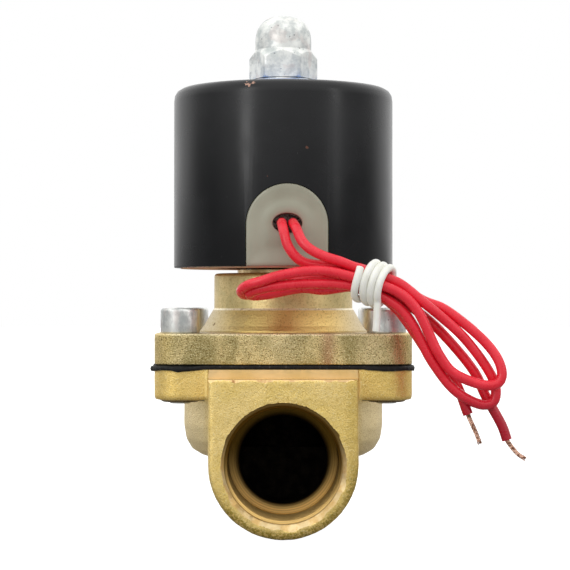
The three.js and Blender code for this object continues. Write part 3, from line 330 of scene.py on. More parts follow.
# ---- material helpers -----------------------------------------------------------------------------
class Finish:
    """A Principled material. Texture sizes are millimetres on the piece, and its axes are in metres."""

    def __init__(self, name, color, roughness, metallic=0.0, **sockets):
        self.material = bpy.data.materials.new(name)
        self.material.use_nodes = True
        self.material.diffuse_color = (*color, 1)
        self.tree = self.material.node_tree
        self.shader = self.tree.nodes["Principled BSDF"]
        self.shader.inputs["Base Color"].default_value = (*color, 1)
        self.shader.inputs["Roughness"].default_value = roughness
        self.shader.inputs["Metallic"].default_value = metallic
        for socket, value in sockets.items():
            self.shader.inputs[socket.replace("_", " ")].default_value = value
        self.place = self.node("ShaderNodeTexCoord").outputs["Object"]
        self.base = color

    def node(self, kind, **settings):
        made = self.tree.nodes.new(kind)
        for name, value in settings.items():
            setattr(made, name, value)
        return made

    def join(self, source, target):
        if isinstance(source, (int, float)):
            target.default_value = source
        elif isinstance(source, tuple):
            target.default_value = (*source, 1)
        else:
            self.tree.links.new(source, target)

    def stretched(self, factors, turn=(0, 0, 0)):
        """The object's coordinates, scaled along X, Y and Z."""
        mapping = self.node("ShaderNodeMapping")
        self.join(self.place, mapping.inputs["Vector"])
        mapping.inputs["Scale"].default_value = factors
        mapping.inputs["Rotation"].default_value = turn
        return mapping.outputs[0]

    def grain(self, size, detail=3.0, rough=0.5, vector=None):
        """Noise whose lumps are about size millimetres across."""
        made = self.node("ShaderNodeTexNoise")
        self.join(vector or self.place, made.inputs["Vector"])
        made.inputs["Scale"].default_value = 1 / (size * MM * 2)
        made.inputs["Detail"].default_value = detail
        made.inputs["Roughness"].default_value = rough
        return made.outputs["Fac"]

    def specks(self, spacing, outer, inner):
        """Round spots about spacing millimetres apart: 1 inside the inner radius, 0 past the outer."""
        made = self.node("ShaderNodeTexVoronoi")
        self.join(self.place, made.inputs["Vector"])
        made.inputs["Scale"].default_value = 1 / (spacing * MM)
        return self.span(made.outputs["Distance"], outer, inner)

    def math(self, operation, a, b=0.0):
        made = self.node("ShaderNodeMath", operation=operation)
        self.join(a, made.inputs[0])
        self.join(b, made.inputs[1])
        return made.outputs[0]

    def times(self, first, *others):
        for other in others:
            first = self.math("MULTIPLY", first, other)
        return first

    def size(self, value):
        return self.math("ABSOLUTE", value)

    def radius(self, a, b):
        """Distance from an axis, from the two coordinates across it."""
        squares = self.math("ADD", self.math("POWER", a, 2.0), self.math("POWER", b, 2.0))
        return self.math("SQRT", squares)

    def waves(self, value, length):
        """A sine of the value, with a wave length in millimetres."""
        return self.math("SINE", self.times(value, 2 * math.pi / (length * MM)))

    def span(self, value, low, high, to_low=0.0, to_high=1.0):
        """The value mapped from low..high to to_low..to_high, and held there."""
        made = self.node("ShaderNodeMapRange", interpolation_type="SMOOTHSTEP")
        self.join(value, made.inputs["Value"])
        made.inputs["From Min"].default_value = low
        made.inputs["From Max"].default_value = high
        made.inputs["To Min"].default_value = to_low
        made.inputs["To Max"].default_value = to_high
        return made.outputs["Result"]

    def span_mm(self, value, low, high, to_low=0.0, to_high=1.0):
        """The same for a coordinate or distance, with its limits in millimetres."""
        return self.span(value, low * MM, high * MM, to_low, to_high)

    def mixed(self, share, a, b):
        made = self.node("ShaderNodeMix", data_type="RGBA")
        self.join(share, made.inputs[0])
        self.join(a, made.inputs[6])
        self.join(b, made.inputs[7])
        return made.outputs[2]

    def blend(self, value, low, high, a, b):
        """Colour a, turning into b as the value goes from low to high."""
        return self.mixed(self.span(value, low, high), a, b)

    def near(self, point, radius, wobble=0.0):
        """1 within about radius millimetres of a point, fading to 0, with a wobbly edge."""
        away = self.node("ShaderNodeVectorMath", operation="DISTANCE")
        self.join(self.place, away.inputs[0])
        away.inputs[1].default_value = [value * MM for value in point]
        distance = away.outputs["Value"]
        if wobble:
            lumps = self.times(self.grain(0.5, 4.0), wobble * MM * 2)
            distance = self.math("ADD", distance, self.math("SUBTRACT", lumps, wobble * MM))
        return self.span_mm(distance, radius * 1.1, radius * 0.9)

    def axes(self):
        """X, Y and Z on the piece."""
        made = self.node("ShaderNodeSeparateXYZ")
        self.join(self.place, made.inputs[0])
        return tuple(made.outputs)

    def color(self, value):
        self.base = value
        self.join(value, self.shader.inputs["Base Color"])

    def tones(self, value, low, high, a, b):
        """Starts the colour off from two tones, as in blend."""
        self.color(self.blend(value, low, high, a, b))

    def over(self, tint, *shares):
        """Lays a tint over the colour so far, where the product of the shares is 1."""
        self.color(self.mixed(self.times(*shares), self.base, tint))

    def rough(self, value, low, high, start=0.3, end=0.7):
        """Roughness from low to high as the value goes from start to end."""
        self.join(self.span(value, start, end, low, high), self.shader.inputs["Roughness"])

    def relief(self, *layers):
        """Bump from (height, millimetres) layers. It comes last, and gives the finished material."""
        normal = None
        for height, depth in layers:
            made = self.node("ShaderNodeBump")
            made.inputs["Distance"].default_value = depth * MM
            made.inputs["Strength"].default_value = 1
            self.join(height, made.inputs["Height"])
            if normal:
                self.join(normal, made.inputs["Normal"])
            normal = made.outputs[0]
        self.join(normal, self.shader.inputs["Normal"])
        return self.material


def sandy(finish, dark, glint, depth, contrast):
    """Fine grain of a sand casting: dark hollows, bright crests painted as glints, and the relief that goes
    with them.
    """
    sand = finish.grain(0.14, 2.5, 0.62)
    finish.over(dark, finish.span(sand, 0.48, 0.34), contrast)
    # Painted glints: the crests are tinted towards a near-white glint colour.
    finish.over(glint, finish.span(sand, 0.55, 0.68), 0.5)
    finish.rough(sand, 0.48, 0.36)
    return finish.relief((sand, depth), (finish.grain(0.9), 0.08))


def mottled(finish, cloud, low, high, tints, sheen, *layers):
    """Two tints by a cloud, roughness that follows the cloud, and relief."""
    finish.tones(cloud, low, high, *tints)
    finish.rough(cloud, *sheen)
    return finish.relief(*layers)


def body_brass():
    """Warm cast brass, with painted shade: darker towards the right side and in a band near the right edge,
    under the flange round the screw bosses, and in speckles along the lower and right rim of the port faces.
    """
    finish = Finish("body_brass", (0.90, 0.68, 0.28), 0.45, 1.0)
    x, y, z = finish.axes()
    blotch = finish.grain(5.0, 4.0, 0.6)
    finish.tones(blotch, 0.35, 0.65, (0.97, 0.735, 0.29), (0.91, 0.675, 0.22))
    # Painted shade: darker towards the right side.
    finish.over((0.86, 0.63, 0.20), finish.span_mm(x, 6, 28))
    outer = finish.span_mm(finish.size(x), 15.5, 18.5)
    flange = finish.times(outer, finish.span_mm(z, 11.8, 13.0, 0.0, 0.6))
    finish.over((0.90, 0.63, 0.19), flange)
    bowl = finish.times(outer, finish.span_mm(z, 13.0, 11.8, 0.0, 0.8))
    finish.over((1.0, 0.83, 0.50), bowl)
    # Painted shade: a darker band near the right edge.
    dull = finish.times(finish.span_mm(x, 12.5, 15.0), finish.span_mm(x, 16.8, 16.0), 0.7)
    finish.over((0.72, 0.52, 0.15), dull)
    # Painted shade, broken into speckles: darker along the lower and right-lower rim of the port faces.
    rim = finish.span_mm(finish.radius(x, finish.math("MINIMUM", z, 0.0)), 13.9, 15.0)
    face = finish.span_mm(finish.size(y), 33.5, 35.8)
    right = finish.times(finish.span_mm(x, 10, 15), finish.span_mm(z, 3, -4))
    lower = finish.math("MAXIMUM", finish.span_mm(z, -5, -11), right)
    patches = finish.span(finish.grain(0.3, 4.0), 0.38, 0.6, 0.15, 0.95)
    finish.over((0.40, 0.29, 0.05), rim, face, lower, patches)
    # Painted shade: a dark band under the flange, round the screw bosses.
    joint = finish.times(finish.span_mm(z, 13.6, 13.1), finish.span_mm(z, 12.4, 12.6))
    corners = finish.span_mm(finish.size(x), 17.5, 18.0)
    finish.over((0.12, 0.08, 0.03), joint, corners)
    return sandy(finish, (0.50, 0.32, 0.06), (1.0, 0.88, 0.52), 0.11, 0.5)


def milled_brass():
    """Cut faces, with the mill's lines along X."""
    finish = Finish("milled_brass", (0.98, 0.76, 0.42), 0.34, 1.0)
    lines = finish.grain(0.22, 2.0, 0.5, finish.stretched((0.04, 1, 1)))
    finish.tones(finish.grain(3.0), 0.35, 0.7, (0.93, 0.69, 0.36), (0.84, 0.61, 0.27))
    finish.rough(finish.grain(0.5), 0.36, 0.5)
    return finish.relief((lines, 0.01), (finish.grain(0.3, 2.0), 0.012))


def thread_brass():
    """Painted light and shade: bright on the chamfer's lower half and dark on its upper half, dark towards
    the top of the bore and lighter towards its bottom, and near black where the passage goes in. Fine darker
    rings run across the thread.
    """
    finish = Finish("thread_brass", (0.62, 0.42, 0.16), 0.36, 1.0)
    x, y, z = finish.axes()
    reach = finish.radius(x, z)
    depth = finish.size(y)
    chamfer = (34.8, 35.5)
    stain = finish.grain(1.2, 4.0, 0.6)
    # Painted shade and light: dark towards the top of the bore, bright towards its bottom.
    finish.color(finish.mixed(finish.span_mm(z, 4, -10.5), (0.15, 0.085, 0.013), (0.88, 0.60, 0.22)))
    wavy = finish.math("ADD", reach, finish.times(stain, 0.3 * MM))
    finish.over((0.10, 0.055, 0.012), finish.span(finish.waves(wavy, 0.52), 0.0, 0.95, 0.0, 0.3))
    # Painted shade: near black inside the passage's radius.
    finish.over((0.012, 0.007, 0.002), finish.span_mm(reach, 11.3, 9.8))
    # Painted light and shade on the chamfer: bright tints on its lower half, dark on its upper half.
    bright = finish.blend(stain, 0.35, 0.65, (1.0, 0.84, 0.52), (0.88, 0.64, 0.28))
    bright = finish.mixed(finish.span_mm(z, -1, 6), bright, (0.36, 0.25, 0.09))
    finish.over(bright, finish.span_mm(depth, *chamfer))
    finish.rough(depth, 0.5, 0.72, *(limit * MM for limit in chamfer))
    return finish.relief((finish.grain(0.3), 0.04))


def bore_painted_shade():
    """Painted shade: the inside of the body, coloured near black as if unlit."""
    finish = Finish("bore_painted_shade", (0.004, 0.002, 0.001), 0.8, 0.0, Specular_IOR_Level=0.05)
    tints = (0.001, 0.0006, 0.0003), (0.006, 0.004, 0.002)
    stain = finish.grain(1.2, 4.0, 0.6)
    return mottled(finish, stain, 0.4, 0.65, tints, (0.85, 0.65), (finish.grain(0.4), 0.05))


def bonnet_brass():
    """Olive where the casting skin is dull, brassy where it is rubbed, with faint upright stains and a
    painted highlight along the flange's top edge.
    """
    finish = Finish("bonnet_brass", (0.66, 0.53, 0.26), 0.48, 1.0)
    x, _, z = finish.axes()
    blotch = finish.grain(3.4, 4.0, 0.6, finish.stretched((1, 1, 0.45)))
    finish.tones(blotch, 0.38, 0.62, (0.38, 0.31, 0.13), (0.70, 0.56, 0.27))
    # Painted highlight along the flange's top edge.
    finish.over((1.0, 0.88, 0.58), finish.span_mm(z, 27.3, 27.9, 0.0, 0.75))
    finish.over((0.80, 0.60, 0.24), finish.span_mm(finish.size(x), 23.2, 26.2, 0.0, 0.6))
    olive, pale, rust = (0.34, 0.28, 0.12), (0.86, 0.71, 0.40), (0.42, 0.19, 0.11)
    streaks = (
        (-18.0, 5.0, 0.45, olive), (0.0, 6.0, 0.4, pale), (19.2, 5.0, 0.45, pale),
        (9.8, 2.6, 0.6, rust), (25.0, 2.0, 0.3, rust),
    )
    for middle, width, share, tint in streaks:
        away = finish.size(finish.math("SUBTRACT", x, middle * MM))
        finish.over(tint, finish.span_mm(away, width, 0.0, 0.0, share))
    return sandy(finish, (0.16, 0.11, 0.03), (1.0, 0.88, 0.55), 0.17, 0.85)


def turned_brass():
    """The bonnet's cone and neck: rubbed below the ridge between them, duller above it, with a painted
    highlight along the ridge and painted reflection tinting the cone's sides paler.
    """
    finish = Finish("turned_brass", (0.80, 0.60, 0.29), 0.42, 1.0)
    x, _, z = finish.axes()
    sand = finish.grain(0.22, 4.0, 0.6)
    blotch = finish.grain(2.6, 4.0, 0.65)
    finish.tones(blotch, 0.36, 0.62, (0.58, 0.47, 0.22), (0.74, 0.58, 0.28))
    rubbed = finish.mixed(finish.span_mm(x, -9, 8), (0.58, 0.43, 0.16), (0.90, 0.64, 0.24))
    cone = finish.span_mm(z, 33.4, 33.0)
    finish.over(rubbed, cone)
    # Painted reflection: the cone's sides are tinted paler.
    ends = finish.span_mm(finish.size(x), 9, 17, 0.0, 0.8)
    finish.over((0.53, 0.45, 0.29), ends, cone)
    # Painted highlight along the ridge between cone and neck.
    off_ridge = finish.size(finish.math("SUBTRACT", z, CONE_TOP * MM))
    finish.over((1.0, 0.92, 0.70), finish.span_mm(off_ridge, 0.3, 0.1))
    finish.over((0.34, 0.23, 0.07), finish.span(sand, 0.47, 0.33), 0.5)
    finish.over((0.33, 0.25, 0.12), finish.near((-10.5, -15.0, 31.2), 2.6, 2.4), 0.35)
    finish.over((0.22, 0.15, 0.06), finish.near((-15.6, -9.1, 29.8), 0.45, 0.8))
    finish.rough(sand, 0.5, 0.34)
    turning = finish.grain(0.18, 2.0, 0.5, finish.stretched((0.05, 0.05, 1)))
    return finish.relief((sand, 0.08), (turning, 0.02))


def inner_brass():
    """Turned brass of the inner pieces and bores."""
    finish = Finish("inner_brass", (0.82, 0.64, 0.34), 0.3, 1.0)
    turning = finish.grain(0.15, 2.0, 0.5, finish.stretched((0.08, 0.08, 1)))
    tints = (0.84, 0.66, 0.36), (0.74, 0.55, 0.26)
    return mottled(finish, finish.grain(2.0), 0.35, 0.7, tints, (0.24, 0.38), (turning, 0.012))


def zinc_plate(name, tone, shadow, roughness, upright):
    """Bright zinc with dull clouds, warm and cool tints and dark pits."""
    finish = Finish(name, (0.80 * tone, 0.80 * tone, 0.78 * tone), roughness, 1.0)
    cloud = finish.grain(1.3, 5.0, 0.65, finish.stretched((1, 1, upright)))
    tint = finish.grain(2.2, 3.0, 0.5, finish.stretched((1, 1, upright)))
    dull = (shadow * 0.98, shadow * 1.02, shadow)
    finish.tones(cloud, 0.36, 0.64, dull, (0.96 * tone, 0.97 * tone, 0.93 * tone))
    finish.over((0.62, 0.46, 0.42), finish.span(tint, 0.54, 0.66), 0.5 * (1.4 - tone))
    finish.over((0.50, 0.56, 0.55), finish.span(tint, 0.42, 0.32), 0.35)
    pits = finish.specks(1.9, 0.13, 0.07)
    finish.over((0.25, 0.25, 0.25), pits, 0.6)
    finish.rough(cloud, roughness + 0.07, roughness - 0.07)
    hollows = finish.math("SUBTRACT", 1.0, pits)
    return finish.relief((cloud, 0.05), (hollows, 0.05), (finish.grain(0.2, 2.0), 0.015))


def drawn_steel(name, tone, roughness, sheen, shaded_below=None):
    """Stainless steel drawn along Z. The tube has painted shadow round its foot, under the coil."""
    finish = Finish(name, (tone, tone, tone), roughness, 1.0)
    drawn = finish.grain(0.25, 3.0, 0.5, finish.stretched((1, 1, 0.08)))
    cloud = drawn if shaded_below else finish.grain(2.5)
    finish.tones(cloud, 0.35, 0.65, (0.60, 0.60, 0.61), (0.72, 0.72, 0.71))
    if shaded_below:
        # Painted shadow: near black round the tube's foot, under the coil.
        foot = finish.span_mm(finish.axes()[2], shaded_below, shaded_below - 0.5)
        finish.over((0.018, 0.013, 0.008), foot)
    finish.rough(drawn, *sheen)
    return finish.relief((drawn, 0.01))


def can_paint():
    """Black gloss paint with dust, one chip near the top edge and two small scuffs."""
    finish = Finish("can_paint", (0.012, 0.0125, 0.014), 0.26, 0.0, Specular_IOR_Level=0.36)
    haze = finish.grain(7.0)
    finish.tones(haze, 0.35, 0.65, (0.005, 0.0053, 0.006), (0.008, 0.0084, 0.0095))
    finish.over((0.3, 0.3, 0.3), finish.specks(2.1, 0.035, 0.02), 0.35)
    chip = (finish.near((-7.9, -23.5, 82.9), 0.5, 1.3), finish.near((-6.6, -23.8, 83.1), 0.4, 0.7))
    chip = finish.math("MAXIMUM", *chip)
    finish.over((0.46, 0.27, 0.20), chip)
    scuffs = (finish.near((5.2, -24.96, 69.0), 0.32, 0.7), finish.near((-3.5, -25.2, 62.6), 0.14))
    finish.over((0.11, 0.042, 0.026), finish.math("MAXIMUM", *scuffs))
    gloss = finish.span_mm(finish.axes()[2], 45, 80, 0.22, 0.35)
    finish.join(gloss, finish.shader.inputs["Specular IOR Level"])
    finish.rough(haze, 0.22, 0.3)
    return finish.relief((finish.grain(0.7, 2.0), 0.006), (finish.math("SUBTRACT", 1.0, chip), 0.05))


def copper_plate():
    """The base plate's dull copper edge."""
    finish = Finish("copper_plate", (0.72, 0.42, 0.34), 0.7, 0.0, Specular_IOR_Level=0.0)
    stain = finish.grain(1.6, 4.0, 0.6)
    finish.tones(stain, 0.35, 0.6, (0.78, 0.44, 0.38), (0.66, 0.46, 0.33))
    finish.over((0.35, 0.15, 0.12), finish.span(stain, 0.62, 0.72))
    finish.rough(stain, 0.32, 0.5)
    return finish.relief((finish.grain(0.3), 0.02))


def black_rubber():
    """Black rubber with grey specks painted as glints."""
    finish = Finish("black_rubber", (0.012, 0.012, 0.012), 0.55, 0.0, Specular_IOR_Level=0.3)
    glint_grain = finish.grain(0.35, 4.0, 0.6)
    # Painted glints: grey specks where the grain is high.
    tints = (0.006, 0.006, 0.006), (0.12, 0.12, 0.122)
    relief = (glint_grain, 0.2), (finish.grain(1.2), 0.2)
    return mottled(finish, glint_grain, 0.6, 0.75, tints, (0.8, 0.5), *relief)


def grommet_plastic():
    """Greyish beige plastic, warmer round the slot for the leads."""
    finish = Finish("grommet_plastic", (0.42, 0.39, 0.31), 0.48)
    cloud = finish.grain(4.0)
    finish.tones(cloud, 0.35, 0.65, (0.33, 0.325, 0.245), (0.37, 0.365, 0.28))
    finish.over((0.42, 0.37, 0.30), finish.near((0.95, -25.4, SLOT_Z), 3.6, 0.5), 0.3)
    finish.rough(finish.grain(0.5), 0.42, 0.55)
    return finish.relief((finish.grain(0.25, 2.0), 0.008), (cloud, 0.03))


def red_insulation():
    """Red plastic, with painted shade darkening the low ends of the leads."""
    finish = Finish("red_insulation", (0.90, 0.02, 0.045), 0.34, 0.0, Subsurface_Weight=0.12)
    finish.shader.inputs["Subsurface Radius"].default_value = (0.0012, 0.0003, 0.0003)
    cloud = finish.grain(2.2, 4.0)
    finish.tones(cloud, 0.35, 0.65, (0.78, 0.013, 0.032), (0.86, 0.022, 0.046))
    # Painted shade on the low ends of the leads.
    finish.over((0.42, 0.002, 0.018), finish.span_mm(finish.axes()[2], 17, 9))
    finish.rough(finish.grain(0.6), 0.24, 0.36)
    return finish.relief((finish.grain(0.8), 0.012), (finish.grain(0.12, 2.0), 0.004))


def tie_plastic():
    """White plastic coating."""
    finish = Finish("tie_plastic", (0.90, 0.90, 0.83), 0.4, 0.0, Subsurface_Weight=0.15)
    finish.shader.inputs["Subsurface Radius"].default_value = (0.0008, 0.0008, 0.0006)
    tints = (0.87, 0.87, 0.79), (0.94, 0.94, 0.88)
    cloud = finish.grain(1.4, 4.0)
    return mottled(finish, cloud, 0.35, 0.65, tints, (0.36, 0.5), (finish.grain(0.5), 0.015))


def copper_strand():
    """Bare copper with dark oxide."""
    finish = Finish("copper_strand", (0.78, 0.34, 0.20), 0.3, 1.0)
    tints = (0.85, 0.55, 0.42), (0.26, 0.12, 0.07)
    relief = (finish.grain(0.2, 2.0), 0.01)
    return mottled(finish, finish.grain(0.3), 0.42, 0.6, tints, (0.25, 0.42), relief)


def winding_copper():
    """Enamelled copper, with the turns as relief."""
    finish = Finish("winding_copper", (0.62, 0.22, 0.08), 0.3, 0.9)
    turns = finish.waves(finish.axes()[2], 0.35)
    tints = (0.64, 0.24, 0.09), (0.50, 0.16, 0.05)
    return mottled(finish, finish.grain(3.0), 0.35, 0.65, tints, (0.24, 0.36), (turns, 0.06))


def winding_tape():
    """Yellow film, with brown sleeving over it where the leads leave, its pale tone partly painted light in
    the slot's shade.
    """
    finish = Finish("yellow_tape", (0.78, 0.52, 0.08), 0.3)
    finish.tones(finish.grain(3.0, 4.0), 0.35, 0.65, (0.72, 0.45, 0.05), (0.80, 0.56, 0.09))
    fibres = finish.grain(0.12, 3.0, 0.6, finish.stretched((0.3, 1, 1), (0, 0.5, 0)))
    # The sleeving's colour is partly its own and partly painted light: its pale tone is raised to show inside
    # the slot's shade.
    sleeve = finish.blend(fibres, 0.42, 0.62, (0.22, 0.12, 0.10), (0.95, 0.80, 0.74))
    finish.over(sleeve, finish.near((0.95, -19.8, SLOT_Z), 6.0, 0.5))
    finish.rough(fibres, 0.3, 0.5)
    return finish.relief((fibres, 0.03))


def moulded(name, low, high, roughness, grain_size=0.4, depth=0.01):
    finish = Finish(name, high, roughness)
    cloud = finish.grain(3.0, 4.0)
    finish.tones(cloud, 0.35, 0.65, low, high)
    finish.rough(finish.grain(grain_size), roughness - 0.06, roughness + 0.08)
    return finish.relief((finish.grain(grain_size), depth), (cloud, 0.03))


BODY_BRASS = body_brass()
MILLED_BRASS = milled_brass()
THREAD_BRASS = thread_brass()
BORE_PAINTED_SHADE = bore_painted_shade()
BONNET_BRASS = bonnet_brass()
TURNED_BRASS = turned_brass()
INNER_BRASS = inner_brass()
NUT_ZINC = zinc_plate("nut_zinc", 0.92, 0.62, 0.55, 1.0)
SCREW_ZINC = zinc_plate("screw_zinc", 0.86, 0.50, 0.42, 0.6)
STAINLESS = drawn_steel("stainless", 0.66, 0.28, (0.22, 0.38))
TUBE_STEEL = drawn_steel("tube_steel", 0.60, 0.3, (0.24, 0.4), shaded_below=43.4)
CAN_PAINT = can_paint()
COPPER_PLATE = copper_plate()
RUBBER = black_rubber()
GROMMET = grommet_plastic()
RED = red_insulation()
TIE = tie_plastic()
STRAND = copper_strand()
WINDING = winding_copper()
NYLON = moulded("nylon", (0.70, 0.66, 0.54), (0.78, 0.75, 0.65), 0.45)
POTTING = moulded("potting_resin", (0.018, 0.018, 0.02), (0.035, 0.035, 0.038), 0.5, 0.8, 0.04)
TAPE = winding_tape()
LABEL = moulded("blue_label", (0.22, 0.36, 0.78), (0.32, 0.46, 0.84), 0.32)


# ---- leads and their tie --------------------------------------------------------------------------
LEAD_A_ROUTE = [
    (-0.3, -21.6, 52.3), (-0.3, -27.0, 52.1), (0.1, -30.2, 50.2), (1.0, -31.4, 47.1), (2.8, -31.6, 44.6),
    (4.7, -31.4, 43.4), (7.5, -31.2, 42.9), (14.8, -31.9, 42.6), (22.3, -31.9, 39.9), (30.5, -32.1, 35.1),
    (34.7, -32.5, 33.4), (43.7, -34.0, 26.0), (46.5, -34.9, 21.7), (46.9, -35.2, 18.9), (46.1, -35.4, 17.5),
    (43.6, -35.5, 17.0), (36.5, -35.5, 19.7), (33.6, -35.5, 23.3), (28.5, -35.7, 33.4), (24.8, -35.5, 36.9),
    (17.9, -35.3, 39.4), (7.9, -35.3, 41.6), (-0.7, -35.0, 40.6), (-4.6, -34.6, 39.4), (-7.7, -33.4, 38.5),
    (-9.1, -31.0, 37.4), (-8.5, -27.9, 36.5), (-5.6, -25.3, 36.7), (-0.5, -25.0, 38.2), (5.0, -27.4, 40.1),
    (9.8, -30.6, 40.4), (14.1, -33.0, 40.7), (17.9, -33.0, 39.4), (21.7, -33.0, 38.1), (25.0, -32.4, 35.6),
    (28.6, -31.6, 33.2), (33.8, -31.0, 28.8), (41.6, -30.8, 19.5), (43.7, -30.8, 14.9), (47.5, -31.0, 7.9),
    (48.5, -31.0, 5.0),
]
LEAD_B_ROUTE = [
    (2.2, -21.6, 52.3), (2.2, -27.0, 52.1), (2.9, -30.6, 50.7), (4.1, -32.4, 48.0), (6.1, -33.3, 46.1),
    (9.2, -33.8, 44.6), (12.3, -34.1, 43.6), (14.8, -34.1, 42.6), (22.3, -34.1, 40.0), (25.0, -34.3, 38.9),
    (29.8, -34.6, 35.1), (39.2, -33.5, 26.9), (45.3, -32.9, 18.2), (45.9, -32.9, 15.2), (45.3, -33.0, 13.3),
    (43.1, -33.2, 12.7), (37.5, -33.9, 15.4), (32.2, -34.4, 21.8), (27.6, -34.4, 30.4), (25.2, -34.3, 33.4),
    (21.0, -34.1, 36.2), (17.2, -34.1, 37.5), (13.5, -34.1, 38.6), (3.6, -34.1, 38.8), (-3.6, -33.3, 38.0),
    (-7.3, -31.3, 36.9), (-6.8, -28.9, 36.3), (-3.8, -27.4, 36.5), (4.2, -28.0, 37.9), (8.5, -29.8, 37.5),
    (11.8, -31.3, 37.9), (14.4, -31.9, 38.2), (17.2, -31.9, 37.5), (21.0, -31.9, 36.2), (24.6, -31.8, 33.3),
    (28.2, -31.7, 28.6), (31.3, -31.6, 24.0), (34.4, -31.6, 20.9), (37.4, -31.6, 17.2), (40.0, -31.6, 10.6),
]
CONDUCTOR_A_ROUTE = [
    (48.3, -31.0, 5.5), (48.7, -31.0, 4.6), (50.3, -31.1, 2.5), (51.4, -31.1, 1.5), (52.5, -31.1, 0.9),
]
CONDUCTOR_B_ROUTE = [
    (39.9, -31.6, 11.0), (40.2, -31.6, 10.0), (40.8, -31.7, 8.6), (41.7, -31.7, 6.6), (42.6, -31.7, 4.2),
]
STRAND_DIAMETER, STRAND_REACH, STRAND_TWIST = 0.32, 0.38, 13
LEAD_STEP, STRAND_STEP = 0.7, 0.25


def smooth_route(route, step):
    """Points about step apart on the centripetal Catmull-Rom curve through a route."""
    points = [np.array(point, float) for point in route]
    points = [2 * points[0] - points[1], *points, 2 * points[-1] - points[-2]]
    line = []
    for a, b, c, d in zip(points, points[1:], points[2:], points[3:]):
        ab, bc, cd = (math.sqrt(np.linalg.norm(q - p)) for p, q in ((a, b), (b, c), (c, d)))
        leave = ((b - a) / ab - (c - a) / (ab + bc) + (c - b) / bc) * bc
        arrive = ((c - b) / bc - (d - b) / (bc + cd) + (d - c) / cd) * bc
        count = max(2, round(np.linalg.norm(c - b) / step))
        for i in range(count):
            t = i / count
            line.append(
                b * (2 * t**3 - 3 * t**2 + 1) + leave * (t**3 - 2 * t**2 + t)
                + c * (3 * t**2 - 2 * t**3) + arrive * (t**3 - t**2)
            )
    line.append(points[-2])
    return line


def wire(name, lines, diameter, finish, resolution=5):
    """Round wire along one or more lines of points in millimetres."""
    curve = bpy.data.curves.new(name, "CURVE")
    curve.dimensions = "3D"
    curve.bevel_depth = diameter / 2 * MM
    curve.bevel_resolution = resolution
    curve.use_fill_caps = True
    for line in lines:
        spline = curve.splines.new("POLY")
        spline.points.add(len(line) - 1)
        for point, position in zip(spline.points, line):
            point.co = (*(np.asarray(position) * MM), 1)
        spline.use_smooth = True
    curve.materials.append(finish)
    return link(name, curve)


def strands(name, route):
    """Seven bare strands with a slight twist, which spread a little at their tip."""
    taper, spread, spread_from, stagger = 0.2, 0.5, 0.8, 0.05
    line = smooth_route(route, STRAND_STEP)
    total = len(line) - 1
    lines = [[] for _ in range(7)]
    for i, centre in enumerate(line):
        ahead = line[min(i + 1, total)] - line[max(i - 1, 0)]
        ahead = Vector(ahead).normalized()
        across = ahead.cross(Vector((0, 1, 0))).normalized()
        up = across.cross(ahead)
        share = i / total
        lines[6].append(centre)
        for k in range(6):
            if share > 1 - stagger * (k % 3):
                continue
            angle = k * math.pi / 3 + share * STRAND_TWIST
            reach = STRAND_REACH * (1 - taper * share) + spread * max(0, share - spread_from) * (k % 2)
            offset = across * (reach * math.cos(angle)) + up * (reach * math.sin(angle))
            lines[k].append(centre + np.array(offset))
    return wire(name, lines, STRAND_DIAMETER, STRAND, 2)


def lead(name, route):
    return wire(name, [smooth_route(route, LEAD_STEP)], LEAD_DIAMETER, RED)


TIE_CENTRE = Vector((18.2, -33, 39.4))
TIE_SLOPE = math.radians(19.5)
TIE_RADIUS, TIE_PITCH, TIE_TURNS = 4.35, 1.62, 3.22
TIE_START = math.radians(61)
TIE_TAIL, TIE_SKEW, TIE_DIAMETER = 6.5, 0.42, 1.64
TIE_STEPS, TAIL_STEPS = 120, 12


def tie_line():
    """Turns side by side round the bundle, from a cut start at the front to a hanging tail."""
    along = Vector((math.cos(TIE_SLOPE), 0, -math.sin(TIE_SLOPE)))
    up = Vector((math.sin(TIE_SLOPE), 0, math.cos(TIE_SLOPE)))
    line = []
    for i in range(TIE_STEPS + 1):
        turns = TIE_TURNS * i / TIE_STEPS
        angle = TIE_START + 2 * math.pi * turns
        skew = (1 - math.sin(angle)) * TIE_RADIUS * TIE_SKEW * min(1.0, turns * 2)
        point = TIE_CENTRE + along * ((turns - TIE_TURNS / 2) * TIE_PITCH + skew)
        point += up * (TIE_RADIUS * math.cos(angle))
        point += Vector((0, -TIE_RADIUS * math.sin(angle), 0))
        line.append(tuple(point))
    last = Vector(line[-1])
    heading = (last - Vector(line[-6])).normalized()
    for i in range(1, TAIL_STEPS + 1):
        t = i / TAIL_STEPS
        drop = Vector((-0.3 * t * t, 0.2 * t * t, -TIE_TAIL * t))
        line.append(tuple(last + drop + heading * (0.8 * t * (1 - t) ** 2)))
    return line


strands_a = place(strands("lead_a_strands", CONDUCTOR_A_ROUTE), "coil", "copper_wire", "lead_a_conductor")
strands_b = place(strands("lead_b_strands", CONDUCTOR_B_ROUTE), "coil", "copper_wire", "lead_b_conductor")
tie = place(wire("tie_wire", [tie_line()], TIE_DIAMETER, TIE), "coil", "white_plastic", "lead_tie")
red_a = place(lead("lead_a_wire", LEAD_A_ROUTE), "coil", "red_insulation", "lead_a")
red_b = place(lead("lead_b_wire", LEAD_B_ROUTE), "coil", "red_insulation", "lead_b")


